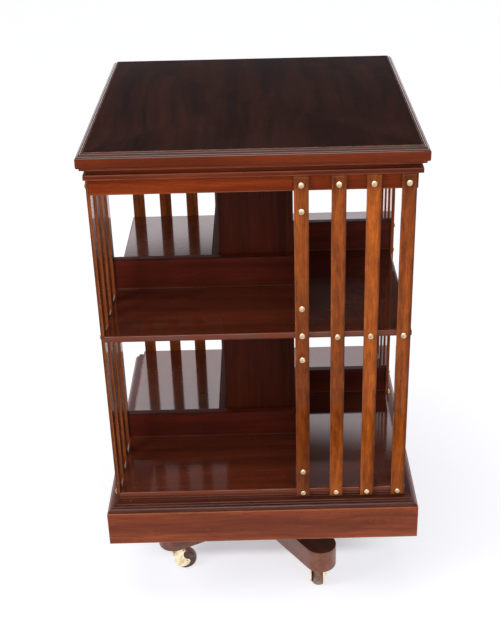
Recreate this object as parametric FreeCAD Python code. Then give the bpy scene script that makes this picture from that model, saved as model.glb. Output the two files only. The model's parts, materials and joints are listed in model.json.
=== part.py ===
"""Revolving bookcase: two tiers of open compartments that turn on a castored cross base.

Millimetres, +Z up, origin on the spindle's axis at floor level. The front is the -Y face.
Plan: every face is open on its left and closed by upright slats on its right, so one
quarter of the carcass, turned in steps of 90 degrees, makes the whole. The book rails
run past the hollow middle column in the same pinwheel way. The plinth hangs as a skirt
round the turned pillar that carries the iron spindle.
"""
import FreeCAD
import Part
import math
import os

# ---- driving dimensions -------------------------------------------------------------
# castors
WHEEL_DIAMETER = 41.0
WHEEL_WIDTH = 20.0
WHEEL_CROWN = 2.0            # how far the tread's edges lie below its middle
CASTOR_HEIGHT = 63.5         # floor to the underside of the cross
CASTOR_TRAIL = 12.5          # swivel axis to wheel axle
AXLE_DIAMETER = 4.5
AXLE_HEAD_DIAMETER = 6.6
AXLE_HEAD_HEIGHT = 1.2
CHEEK_THICKNESS = 2.6        # side of the horn
CHEEK_EYE_RADIUS = 5.8       # round end of the horn about the axle
CHEEK_KEEL = 9.0             # lowest point of a cheek, behind the axle
CHEEK_DROP = 10.0            # and below it
CROWN_DIAMETER = 21.0        # horn's round head about the pintle
CROWN_HEIGHT = 8.0
PLATE_DIAMETER = 44.0
PLATE_THICKNESS = 2.5
PINTLE_DIAMETER = 7.0
PINTLE_HEAD_DIAMETER = 12.0
PINTLE_HEAD_HEIGHT = 2.0
BOSS_DIAMETER = 24.0         # raised middle of the castor plate
BOSS_HEIGHT = 6.0
BOSS_SHOULDER = 1.0          # how far the boss is narrower than the crown under it
PLATE_SCREW_CIRCLE = 34.0
PLATE_SCREW_LENGTH = 20.0
PLATE_SCREW_SHANK = 3.2
PLATE_SCREW_HEAD = 6.4
PLATE_SCREW_COUNT = 3
TRAIL_ANGLES = (80.0, 15.0, -112.0, 203.0)   # where each castor trails, at rest

# cross base
ARM_THICKNESS = 44.0
ARM_REACH = 195.5            # spindle axis to the centre of an arm's round end
CASTOR_INSET = 8.0           # castor axis, in from that centre
ARM_END_RADIUS = 28.0
ARM_ROOT_WIDTH = 84.0
ARM_ARRIS = 1.2
CROSS_ANGLE = -59.0          # first arm, measured from +X at rest
PILLAR_FOOT_DIAMETER = 128.0
PILLAR_HEAD_DIAMETER = 104.0
PILLAR_WAIST_DIAMETER = 88.0
PILLAR_FOOT_HEIGHT = 22.0
PILLAR_HEAD_HEIGHT = 30.0
PILLAR_SCREW_CIRCLE = 60.0
PILLAR_SCREW_LENGTH = 84.0
PILLAR_SCREW_SHANK = 6.4
PILLAR_SCREW_HEAD = 13.0

# spindle and its bearings
SPINDLE_DIAMETER = 22.0
SPINDLE_TENON = 60.0         # depth in the pillar
FLANGE_DIAMETER = 96.0
FLANGE_THICKNESS = 6.0
FLANGE_SCREW_CIRCLE = 72.0
FLANGE_SCREW_LENGTH = 30.0
BEARING_PLATE_WIDTH = 92.0
BEARING_PLATE_THICKNESS = 4.0
BEARING_BLOCK_WIDTH = 170.0
BEARING_BLOCK_THICKNESS = 20.0
BUSH_DIAMETER = 34.0
BUSH_RISE = 4.0              # bush above the bottom shelf's underside
BEARING_SCREW_SPACING = 70.0
BEARING_SCREW_LENGTH = 20.0
CUP_PLATE_DIAMETER = 76.0
CUP_PLATE_THICKNESS = 4.0
CUP_DEPTH = 14.0
CUP_FLOOR = 6.0              # metal over the spindle's end
CUP_SCREW_CIRCLE = 56.0
CUP_SCREW_LENGTH = 24.0
HEAD_BLOCK_THICKNESS = 30.0
SCREW_SHANK = 4.0
SCREW_HEAD = 8.4

# carcass
SKIRT_GAP = 84.5             # top of the cross to the bottom of the plinth
PLINTH_HEIGHT = 61.5
PLINTH_BOARD = 18.0
PLINTH_FLAT = 1.5            # plinth's top beyond its moulding
MOULDING_REST = 20.0         # how far the moulding reaches in under the bottom shelf
LEDGE_DROP = 4.5             # slat ledge below the bottom shelf's underside
LEDGE_LIP = 7.0              # ledge in front of the slats
LIP_HEIGHT = 1.5
HOLLOW_HEIGHT = 4.5          # hollow between the lip and the ovolo
HOLLOW_DEPTH = 1.6
OVOLO_WIDTH = 7.0
OVOLO_HEIGHT = 6.5
QUIRK = 0.5                  # square step beside a round
CORNER_BLOCK = 30.0
CARCASS_WIDTH = 474.0
SHELF_THICKNESS = 10.0
LOWER_TIER = 286.7           # clear height between shelves
UPPER_TIER = 238.8
COLUMN_WIDTH = 122.0
COLUMN_BOARD = 12.0
RAIL_THICKNESS = 14.0
LOWER_LOW_RAIL = 49.0        # heights of the book rails
UPPER_LOW_RAIL = 54.5
LOWER_TOP_RAIL = 47.0
UPPER_TOP_RAIL = 47.0
RAIL_ARRIS = 1.0
SHELF_ARRIS = 1.5

# slats and studs
SLAT_WIDTH = 21.6
SLAT_THICKNESS = 5.0
SLAT_PITCH = 50.7
SLAT_COUNT = 4               # the first stands on the rail's line, the others step from the corner
SLAT_CORNER_INSET = 2.3
SLAT_ARRIS = 1.4
SLAT_BEVEL = 2.6             # sloped end of a slat
SLAT_HEAD_GAP = 0.5          # below the cornice
STUD_HEAD_DIAMETER = 10.4
STUD_HEAD_HEIGHT = 3.4
STUD_SHANK = 2.4
STUD_LENGTH = 28.0
RAIL_STUD_INSET = 11.0       # stud to the rail's free edge
FIRST_STUD_RISE = 1.5        # first slat's middle stud, above the middle of its shelf
STEPPED_STUD_DROP = 1.5      # the other slats' middle studs, below it

# frieze, cornice and top
FRIEZE_BOARD = 14.0
FRIEZE_DROP = 5.3            # below the sub-top's underside
TOP_GAP = 29.5               # between the sub-top and the top board
CORNICE_HEIGHT = 19.5
CORNICE_REACH = 10.0         # at the top, beyond the frieze
CORNICE_FILLET = 3.6
CAVETTO_RADIUS = 7.8
BEAD_REACH = 6.5
BEAD_HEIGHT = 7.8
TOP_OVERHANG = 4.25          # beyond the cornice
TOP_THICKNESS = 22.0
TOP_STEP = 0.6               # depth of each quirk in the moulded edge
TOP_ROUNDS = ((3.3, 1.5), (3.8, 1.8), (2.4, 1.8))   # width and fall of its rounds, from the flat outward
TOP_UNDER_RADIUS = 3.5

# named clearances
BORE_CLEARANCE = 0.05        # radial, a pin turning in its bore
FACE_CLEARANCE = 0.3         # between faces that slide or turn past each other
WHEEL_CLEARANCE = 0.5        # wheel to each side of its horn

# ---- levels and half widths that follow ---------------------------------------------
Z_ARM = CASTOR_HEIGHT
Z_ARM_TOP = Z_ARM + ARM_THICKNESS
Z_PLINTH = Z_ARM_TOP + SKIRT_GAP
Z_MOULDING = Z_PLINTH + PLINTH_HEIGHT
Z_OVOLO = Z_MOULDING + QUIRK + OVOLO_HEIGHT
Z_LEDGE = Z_OVOLO + HOLLOW_HEIGHT + LIP_HEIGHT
Z_BOTTOM = Z_LEDGE + LEDGE_DROP
Z_BOTTOM_TOP = Z_BOTTOM + SHELF_THICKNESS
Z_MIDDLE = Z_BOTTOM_TOP + LOWER_TIER
Z_MIDDLE_TOP = Z_MIDDLE + SHELF_THICKNESS
Z_SUB_TOP = Z_MIDDLE_TOP + UPPER_TIER
Z_LOWER_RAIL = Z_MIDDLE - LOWER_TOP_RAIL
Z_UPPER_RAIL = Z_SUB_TOP - UPPER_TOP_RAIL
Z_TOP = Z_SUB_TOP + SHELF_THICKNESS + TOP_GAP
Z_CORNICE = Z_TOP - CORNICE_HEIGHT
Z_BEARING = Z_BOTTOM - BEARING_BLOCK_THICKNESS - BEARING_PLATE_THICKNESS
Z_FLANGE = Z_BEARING - FACE_CLEARANCE - FLANGE_THICKNESS
Z_CUP = Z_TOP - HEAD_BLOCK_THICKNESS - CUP_PLATE_THICKNESS
Z_CUP_MOUTH = Z_CUP + CUP_PLATE_THICKNESS - CUP_FLOOR - CUP_DEPTH
Z_SPINDLE_END = Z_CUP_MOUTH + CUP_DEPTH - FACE_CLEARANCE

HALF = CARCASS_WIDTH / 2
COLUMN_HALF = COLUMN_WIDTH / 2
TOP_HALF = HALF + CORNICE_REACH + TOP_OVERHANG
PANEL_HALF = TOP_HALF - sum(width for width, fall in TOP_ROUNDS)
SLAT_FACE = HALF + SLAT_THICKNESS
LIP_FACE = SLAT_FACE + LEDGE_LIP
PLINTH_HALF = LIP_FACE + QUIRK + OVOLO_WIDTH + PLINTH_FLAT
CASTOR_RADIUS = ARM_REACH - CASTOR_INSET
FIRST_SLAT = COLUMN_HALF + RAIL_THICKNESS / 2
CORNER_SLAT = HALF - SLAT_CORNER_INSET - SLAT_WIDTH / 2
SLAT_PLACES = [FIRST_SLAT] + [CORNER_SLAT - SLAT_PITCH * step for step in range(SLAT_COUNT - 2, -1, -1)]
SHELF_STUD_LEVELS = [level + SHELF_THICKNESS / 2 for level in (Z_BOTTOM, Z_MIDDLE, Z_SUB_TOP)]
RAIL_STUD_LEVELS = [
    Z_BOTTOM_TOP + LOWER_LOW_RAIL - RAIL_STUD_INSET,
    Z_LOWER_RAIL + RAIL_STUD_INSET,
    Z_MIDDLE_TOP + UPPER_LOW_RAIL - RAIL_STUD_INSET,
    Z_UPPER_RAIL + RAIL_STUD_INSET,
]

UP = FreeCAD.Vector(0, 0, 1)
ORIGIN = FreeCAD.Vector(0, 0, 0)
QUARTERS = range(0, 360, 90)
CASTOR_NUMBERS = range(1, len(TRAIL_ANGLES) + 1)


# ---- shaping helpers ----------------------------------------------------------------
def turned(shape, degrees):
    """A copy turned about the spindle's axis."""
    copy = shape.copy()
    copy.rotate(ORIGIN, UP, degrees)
    return copy


def moved(shape, x, y, z):
    copy = shape.copy()
    copy.translate(FreeCAD.Vector(x, y, z))
    return copy


def box(x0, x1, y0, y1, z0, z1):
    corner = FreeCAD.Vector(x0, y0, z0)
    return Part.makeBox(x1 - x0, y1 - y0, z1 - z0, corner)


def rod(diameter, z0, z1, x=0.0, y=0.0):
    return Part.makeCylinder(diameter / 2, z1 - z0, FreeCAD.Vector(x, y, z0), UP)


def outline_edges(place, start, steps):
    """Closed edges through steps; a step is a point, or (point on arc, end of arc)."""
    edges = []
    here = place(*start)
    last = steps[-1][1] if isinstance(steps[-1][0], tuple) else steps[-1]
    closing = [] if last == start else [start]
    for step in list(steps) + closing:
        if isinstance(step[0], tuple):
            end = place(*step[1])
            edges.append(Part.Arc(here, place(*step[0]), end).toShape())
        else:
            end = place(*step)
            edges.append(Part.LineSegment(here, end).toShape())
        here = end
    return edges


def front_profile(start, steps):
    """A face in the YZ plane from (distance in front of the axis, height) points."""
    def place(reach, height):
        return FreeCAD.Vector(0, -reach, height)
    return Part.Face(Part.Wire(outline_edges(place, start, steps)))


def turning(start, steps):
    """A solid turned about Z from (radius, height) points."""
    def place(radius, height):
        return FreeCAD.Vector(radius, 0, height)
    face = Part.Face(Part.Wire(outline_edges(place, start, steps)))
    return face.revolve(ORIGIN, UP, 360)


def round_point(centre, radius, degrees):
    angle = math.radians(degrees)
    return (centre[0] + radius * math.cos(angle), centre[1] + radius * math.sin(angle))


def mitred_length(start, steps):
    """One length of a frame's section along the front, cut to 45 degrees at both corners."""
    face = front_profile(start, steps)
    reach = -face.BoundBox.YMin
    length = moved(face, -reach, 0, 0).extrude(FreeCAD.Vector(2 * reach, 0, 0))
    low = face.BoundBox.ZMin
    corners = [FreeCAD.Vector(x, -abs(x), low) for x in (-2 * reach, 0, 2 * reach)]
    wedge = Part.Face(Part.makePolygon(corners + corners[:1]))
    return length.common(wedge.extrude(FreeCAD.Vector(0, 0, face.BoundBox.ZLength)))


def frame(start, steps):
    """Four mitred lengths round the carcass."""
    length = mitred_length(start, steps)
    return [turned(length, quarter) for quarter in QUARTERS]


def drilled(shape, drills):
    """The shape with every drill that reaches it taken away."""
    near = [drill for drill in drills if drill.BoundBox.intersect(shape.BoundBox)]
    return shape.cut(Part.makeCompound(near)) if near else shape


def screw(length, shank, head, slotted=True):
    """A countersunk wood screw, head flush with z = 0, pointing down."""
    depth = (head - shank) / 2
    body = turning((0, 0), [(head / 2, 0), (shank / 2, -depth), (shank / 2, shank - length), (0, -length)])
    if slotted:
        slot = head / 6
        body = body.cut(box(-head, head, -slot / 2, slot / 2, -depth / 2, depth))
    return body


def upward(shape):
    copy = shape.copy()
    copy.rotate(ORIGIN, FreeCAD.Vector(1, 0, 0), 180)
    return copy


def ring_places(circle, count, first=45.0):
    """Centres of count holes spread round a pitch circle."""
    step = 360.0 / count
    return [round_point((0, 0), circle / 2, first + step * index) for index in range(count)]


# ---- slats and studs ----------------------------------------------------------------
def slat(centre):
    """An upright lath with eased front corners and sloped ends, standing on the plinth's ledge."""
    left, right = centre - SLAT_WIDTH / 2, centre + SLAT_WIDTH / 2
    bottom, top = Z_LEDGE, Z_CORNICE - SLAT_HEAD_GAP
    ease = SLAT_ARRIS * (1 - math.sqrt(0.5))

    def place(x, y):
        return FreeCAD.Vector(x, y, bottom)
    steps = [
        (left, -SLAT_FACE + SLAT_ARRIS),
        ((left + ease, -SLAT_FACE + ease), (left + SLAT_ARRIS, -SLAT_FACE)),
        (right - SLAT_ARRIS, -SLAT_FACE),
        ((right - ease, -SLAT_FACE + ease), (right, -SLAT_FACE + SLAT_ARRIS)),
        (right, -HALF),
    ]
    section = Part.Face(Part.Wire(outline_edges(place, (left, -HALF), steps)))
    lath = section.extrude(FreeCAD.Vector(0, 0, top - bottom))
    slope = SLAT_THICKNESS / 2
    for end, inward in ((top, -SLAT_BEVEL), (bottom, SLAT_BEVEL)):
        corners = [
            FreeCAD.Vector(left - slope, -SLAT_FACE, end),
            FreeCAD.Vector(left - slope, -SLAT_FACE + slope, end),
            FreeCAD.Vector(left - slope, -SLAT_FACE, end + inward),
        ]
        wedge = Part.Face(Part.makePolygon(corners + corners[:1]))
        lath = lath.cut(wedge.extrude(FreeCAD.Vector(SLAT_WIDTH + 2 * slope, 0, 0)))
    return lath


def stud_levels(place):
    low, middle, high = SHELF_STUD_LEVELS
    if place == SLAT_PLACES[0]:
        return [low, middle + FIRST_STUD_RISE, high] + RAIL_STUD_LEVELS
    return [low, middle - STEPPED_STUD_DROP, high]


def stud(x, z, shank_only=False):
    """A dome-headed brass nail through the front face of a slat."""
    point, inward = FreeCAD.Vector(x, -SLAT_FACE, z), FreeCAD.Vector(0, 1, 0)
    shank = Part.makeCylinder(STUD_SHANK / 2, STUD_LENGTH, point, inward)
    if shank_only:
        return shank
    radius = STUD_HEAD_DIAMETER / 2
    ball = (radius ** 2 + STUD_HEAD_HEIGHT ** 2) / (2 * STUD_HEAD_HEIGHT)
    half_angle = math.degrees(math.asin(radius / ball))
    crown = round_point((0, STUD_HEAD_HEIGHT - ball), ball, 90 - half_angle / 2)
    head = turning((0, 0), [(radius, 0), (crown, (0, STUD_HEAD_HEIGHT))])
    head.rotate(ORIGIN, FreeCAD.Vector(1, 0, 0), 90)
    return moved(head, x, -SLAT_FACE, z).fuse(shank).removeSplitter()


def face_studs(shank_only=False):
    return [stud(place, level, shank_only) for place in SLAT_PLACES for level in stud_levels(place)]


def all_stud_holes():
    return [turned(hole, quarter) for quarter in QUARTERS for hole in face_studs(True)]


# ---- carcass ------------------------------------------------------------------------
def shelf(underside, half, stud_holes, arris=0.0):
    """A square board round the middle column."""
    board = box(-half, half, -half, half, underside, underside + SHELF_THICKNESS)
    if arris:
        top = [edge for edge in board.Edges if edge.BoundBox.ZMin > underside + SHELF_THICKNESS / 2]
        board = board.makeFillet(arris, top)
    well = box(-COLUMN_HALF, COLUMN_HALF, -COLUMN_HALF, COLUMN_HALF, underside, underside + SHELF_THICKNESS)
    return drilled(board.cut(well), stud_holes)


def column_boards():
    """Four boards, each lapping the edge of the next, from the bearing block to the top board."""
    inner = COLUMN_HALF - COLUMN_BOARD
    board = box(-COLUMN_HALF, inner, -COLUMN_HALF, -inner, Z_BOTTOM, Z_TOP)
    return [turned(board, quarter) for quarter in QUARTERS]


def book_rails(underside, height, stud_holes, rounded_top=False, notch=0.0):
    """Rails from each first slat past the column to the next rail, notched under the frieze."""
    front, top = -COLUMN_HALF - RAIL_THICKNESS, underside + height
    rail = box(-HALF, COLUMN_HALF, front, -COLUMN_HALF, underside, top)
    level = top if rounded_top else underside
    edges = []
    for edge in rail.Edges:
        bounds = edge.BoundBox
        along = bounds.XLength > height and abs(bounds.ZMin - level) < height / 4
        if along and abs(bounds.YMin - front) < RAIL_THICKNESS / 4:
            edges.append(edge)
    rail = rail.makeFillet(RAIL_ARRIS, edges)
    if notch:
        rail = rail.cut(box(-HALF, -HALF + FRIEZE_BOARD, front, -COLUMN_HALF, top - notch, top))
    return [drilled(turned(rail, quarter), stud_holes) for quarter in QUARTERS]


def plinth_boards():
    inner = PLINTH_HALF - PLINTH_BOARD
    section = [(PLINTH_HALF, Z_PLINTH), (PLINTH_HALF, Z_MOULDING), (inner, Z_MOULDING)]
    return frame((inner, Z_PLINTH), section)


def falling_round(start, width, fall):
    """Convex arc that leaves start level: a point on it with its end, and its end."""
    radius = (width ** 2 + fall ** 2) / (2 * fall)
    half_angle = math.atan(fall / width)
    middle = (start[0] + radius * math.sin(half_angle), start[1] - radius * (1 - math.cos(half_angle)))
    end = (start[0] + width, start[1] - fall)
    return (middle, end), end


def plinth_moulding():
    """Ovolo, hollow and lip on the plinth, with the ledge for the slats' feet and a rest for the shelf."""
    inner = HALF - MOULDING_REST
    ovolo, foot = falling_round((LIP_FACE + QUIRK, Z_OVOLO), OVOLO_WIDTH, OVOLO_HEIGHT)
    steps = [
        (HALF, Z_BOTTOM),
        (HALF, Z_LEDGE),
        (LIP_FACE, Z_LEDGE),
        (LIP_FACE, Z_LEDGE - LIP_HEIGHT),
        ((LIP_FACE - HOLLOW_DEPTH, Z_OVOLO + HOLLOW_HEIGHT / 2), (LIP_FACE, Z_OVOLO)),
        (LIP_FACE + QUIRK, Z_OVOLO),
        ovolo,
        (foot[0], Z_MOULDING),
        (inner, Z_MOULDING),
    ]
    return frame((inner, Z_BOTTOM), steps)


def corner_blocks():
    """Glue blocks that stiffen the plinth's mitres from inside."""
    inner = PLINTH_HALF - PLINTH_BOARD
    corners = [FreeCAD.Vector(x, y, Z_PLINTH + PLINTH_HEIGHT / 3) for x, y in
               ((inner, -inner), (inner - CORNER_BLOCK, -inner), (inner, -inner + CORNER_BLOCK))]
    block = Part.Face(Part.makePolygon(corners + corners[:1]))
    block = block.extrude(FreeCAD.Vector(0, 0, Z_MOULDING - corners[0].z))
    return [turned(block, quarter) for quarter in QUARTERS]


def frieze_boards(stud_holes):
    inner = HALF - FRIEZE_BOARD
    bottom = Z_SUB_TOP - FRIEZE_DROP
    boards = frame((inner, bottom), [(HALF, bottom), (HALF, Z_TOP), (inner, Z_TOP)])
    return [drilled(board, stud_holes) for board in boards]


def cornice():
    """Bead, hollow and fillet planted on the frieze under the top board."""
    fillet = HALF + CORNICE_REACH
    centre = (fillet, Z_TOP - CORNICE_FILLET - CAVETTO_RADIUS)
    neck = fillet - CAVETTO_RADIUS
    bead = HALF + BEAD_REACH
    bead_top = Z_CORNICE + BEAD_HEIGHT
    ease = BEAD_REACH / 6
    steps = [
        (bead - ease, Z_CORNICE),
        (bead, Z_CORNICE + ease),
        (bead, bead_top - ease),
        ((bead - ease / 3, bead_top - ease / 3), (bead - ease, bead_top)),
        (neck, centre[1]),
        (round_point(centre, CAVETTO_RADIUS, 135), (fillet, Z_TOP - CORNICE_FILLET)),
        (fillet, Z_TOP),
        (HALF, Z_TOP),
    ]
    return frame((HALF, Z_CORNICE), steps)


def top_edging():
    """Mitred lipping round the table top, with two reeds and a bead run along it."""
    start = (PANEL_HALF, Z_TOP + TOP_THICKNESS - TOP_STEP)
    here = start
    steps = []
    for width, fall in TOP_ROUNDS:
        if steps:
            here = (here[0], here[1] - TOP_STEP)
            steps.append(here)
        arc, here = falling_round(here, width, fall)
        steps.append(arc)
    under = (TOP_HALF - TOP_UNDER_RADIUS, Z_TOP + TOP_UNDER_RADIUS)
    steps.append((TOP_HALF, under[1]))
    steps.append((round_point(under, TOP_UNDER_RADIUS, -45), (under[0], Z_TOP)))
    steps.append((PANEL_HALF, Z_TOP))
    return frame(start, steps)


# ---- spindle, pillar and bearings ---------------------------------------------------
def placed_screws(places, level, length, shank, head, rising, slotted=True):
    one = screw(length, shank, head, slotted)
    if rising:
        one = upward(one)
    return [moved(one, x, y, level) for x, y in places]


def pillar_screws(slotted=True):
    places = ring_places(PILLAR_SCREW_CIRCLE, 4, CROSS_ANGLE)
    length, shank, head = PILLAR_SCREW_LENGTH, PILLAR_SCREW_SHANK, PILLAR_SCREW_HEAD
    return placed_screws(places, Z_ARM, length, shank, head, True, slotted)


def flange_screws(slotted=True):
    places = ring_places(FLANGE_SCREW_CIRCLE, 4)
    level = Z_FLANGE + FLANGE_THICKNESS
    return placed_screws(places, level, FLANGE_SCREW_LENGTH, SCREW_SHANK, SCREW_HEAD, False, slotted)


def bearing_screws(slotted=True):
    side = BEARING_SCREW_SPACING / 2
    places = [(x, y) for x in (-side, side) for y in (-side, side)]
    return placed_screws(places, Z_BEARING, BEARING_SCREW_LENGTH, SCREW_SHANK, SCREW_HEAD, True, slotted)


def cup_screws(slotted=True):
    places = ring_places(CUP_SCREW_CIRCLE, 4)
    return placed_screws(places, Z_CUP, CUP_SCREW_LENGTH, SCREW_SHANK, SCREW_HEAD, True, slotted)


def pillar():
    """Turned post on the cross: torus foot, waisted neck, torus head."""
    foot, head, waist = PILLAR_FOOT_DIAMETER / 2, PILLAR_HEAD_DIAMETER / 2, PILLAR_WAIST_DIAMETER / 2
    foot_top = Z_ARM_TOP + PILLAR_FOOT_HEIGHT
    head_bottom = Z_FLANGE - PILLAR_HEAD_HEIGHT
    middle = (foot_top + head_bottom) / 2
    foot_round, head_round = PILLAR_FOOT_HEIGHT / 2, PILLAR_HEAD_HEIGHT / 3
    steps = [
        (foot - foot_round, Z_ARM_TOP),
        ((foot, Z_ARM_TOP + foot_round), (foot - foot_round, foot_top)),
        (waist + foot_round, foot_top),
        ((waist, middle), (head - head_round, head_bottom)),
        (head, head_bottom + head_round),
        (head, Z_FLANGE),
        (0, Z_FLANGE),
    ]
    post = turning((0, Z_ARM_TOP), steps)
    post = post.cut(rod(SPINDLE_DIAMETER, Z_FLANGE - SPINDLE_TENON, Z_FLANGE))
    return drilled(post, pillar_screws(False) + flange_screws(False))


def spindle():
    """Iron post from the pillar to the cup, its end eased."""
    ease = SPINDLE_DIAMETER / 8
    radius = SPINDLE_DIAMETER / 2
    foot = Z_FLANGE - SPINDLE_TENON
    steps = [
        (radius, foot),
        (radius, Z_SPINDLE_END - ease),
        (radius - ease, Z_SPINDLE_END),
        (0, Z_SPINDLE_END),
    ]
    return turning((0, foot), steps)


def spindle_flange():
    plate = rod(FLANGE_DIAMETER, Z_FLANGE, Z_FLANGE + FLANGE_THICKNESS)
    plate = plate.cut(rod(SPINDLE_DIAMETER, Z_FLANGE, Z_FLANGE + FLANGE_THICKNESS))
    return drilled(plate, flange_screws(False))


def running_bore(z0, z1):
    return rod(SPINDLE_DIAMETER + 2 * BORE_CLEARANCE, z0, z1)


def lower_bearing():
    """Plate under the bearing block with a bush that guides the spindle."""
    half = BEARING_PLATE_WIDTH / 2
    plate = box(-half, half, -half, half, Z_BEARING, Z_BEARING + BEARING_PLATE_THICKNESS)
    bush_top = Z_BOTTOM + BUSH_RISE
    solid = plate.fuse(rod(BUSH_DIAMETER, Z_BEARING, bush_top)).removeSplitter()
    return drilled(solid.cut(running_bore(Z_BEARING, bush_top)), bearing_screws(False))


def bearing_block():
    """Block under the bottom shelf that carries the column and takes the bearing's screws."""
    half = BEARING_BLOCK_WIDTH / 2
    block = box(-half, half, -half, half, Z_BOTTOM - BEARING_BLOCK_THICKNESS, Z_BOTTOM)
    return drilled(block.cut(rod(BUSH_DIAMETER, Z_BEARING, Z_BOTTOM)), bearing_screws(False))


def pivot_cup():
    """Cup that hangs the carcass on the spindle's end."""
    plate = rod(CUP_PLATE_DIAMETER, Z_CUP, Z_CUP + CUP_PLATE_THICKNESS)
    solid = plate.fuse(rod(BUSH_DIAMETER, Z_CUP_MOUTH, Z_CUP + CUP_PLATE_THICKNESS)).removeSplitter()
    return drilled(solid.cut(running_bore(Z_CUP_MOUTH, Z_CUP_MOUTH + CUP_DEPTH)), cup_screws(False))


def head_block():
    half = COLUMN_HALF - COLUMN_BOARD
    return drilled(box(-half, half, -half, half, Z_CUP + CUP_PLATE_THICKNESS, Z_TOP), cup_screws(False))


# ---- cross --------------------------------------------------------------------------
def arm_angle(number):
    """Arms are numbered clockwise from the first, seen from above."""
    return CROSS_ANGLE - 90.0 * (number - 1)


def cross_bar(angle):
    """One bar of the cross: two tapering arms with round ends, before halving."""
    root, end, reach = ARM_ROOT_WIDTH / 2, ARM_END_RADIUS, ARM_REACH
    taper = math.degrees(math.asin((root - end) / reach))
    upper = round_point((reach, 0), end, 90 - taper)
    lower = (upper[0], -upper[1])

    def place(x, y):
        return FreeCAD.Vector(x, y, Z_ARM)
    steps = [
        (0, root),
        (-upper[0], upper[1]),
        ((-reach - end, 0), (-lower[0], lower[1])),
        (0, -root),
        lower,
        ((reach + end, 0), upper),
    ]
    plan = Part.Face(Part.Wire(outline_edges(place, upper, steps)))
    bar = plan.extrude(FreeCAD.Vector(0, 0, ARM_THICKNESS))
    rims = [edge for edge in bar.Edges if edge.BoundBox.ZLength < ARM_THICKNESS / 2]
    return turned(bar.makeFillet(ARM_ARRIS, rims), angle)


def cross_bars():
    """Two bars halved over each other; the lower one keeps its bottom half at the crossing."""
    first, second = cross_bar(arm_angle(1)), cross_bar(arm_angle(2))
    crossing = first.common(second)
    reach = ARM_REACH + ARM_END_RADIUS
    middle = Z_ARM + ARM_THICKNESS / 2
    above = crossing.common(box(-reach, reach, -reach, reach, middle, Z_ARM_TOP))
    below = crossing.common(box(-reach, reach, -reach, reach, Z_ARM, middle))
    holes = pillar_screws(False) + plate_screws(False)
    return drilled(first.cut(above), holes), drilled(second.cut(below), holes)


# ---- castors ------------------------------------------------------------------------
def castor_placed(shape, number, trailing=True):
    """From a castor's own frame, swivel axis on Z and trail along +X, to its arm's end."""
    angle = arm_angle(number)
    x, y = round_point((0, 0), CASTOR_RADIUS, angle)
    turn = TRAIL_ANGLES[number - 1] if trailing else angle
    return moved(turned(shape, turn), x, y, 0)


def plate_screws(slotted=True):
    places = ring_places(PLATE_SCREW_CIRCLE, PLATE_SCREW_COUNT, 0.0)
    level = Z_ARM - PLATE_THICKNESS
    length, shank, head = PLATE_SCREW_LENGTH, PLATE_SCREW_SHANK, PLATE_SCREW_HEAD
    one_plate = placed_screws(places, level, length, shank, head, True, slotted)
    return [castor_placed(one, number, False) for number in CASTOR_NUMBERS for one in one_plate]


def crown_levels():
    """Bottom and top of the horn's crown, above the pintle's riveted head."""
    top = Z_ARM - PLATE_THICKNESS - BOSS_HEIGHT - FACE_CLEARANCE
    return top - CROWN_HEIGHT, top


def castor_plate(number):
    """Round plate with a coned boss and the pintle, riveted over under the horn."""
    crown_bottom, crown_top = crown_levels()
    radius, boss, pin = PLATE_DIAMETER / 2, BOSS_DIAMETER / 2, PINTLE_DIAMETER / 2
    rivet = PINTLE_HEAD_DIAMETER / 2
    under = crown_bottom - FACE_CLEARANCE
    steps = [
        (radius, Z_ARM),
        (radius, Z_ARM - PLATE_THICKNESS),
        (boss, Z_ARM - PLATE_THICKNESS),
        (CROWN_DIAMETER / 2 - BOSS_SHOULDER, crown_top + FACE_CLEARANCE),
        (pin, crown_top + FACE_CLEARANCE),
        (pin, under),
        (rivet, under),
        (rivet - PINTLE_HEAD_HEIGHT / 2, under - PINTLE_HEAD_HEIGHT),
        (0, under - PINTLE_HEAD_HEIGHT),
    ]
    plate = castor_placed(turning((0, Z_ARM), steps), number, False)
    return drilled(plate, plate_screws(False))


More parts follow.
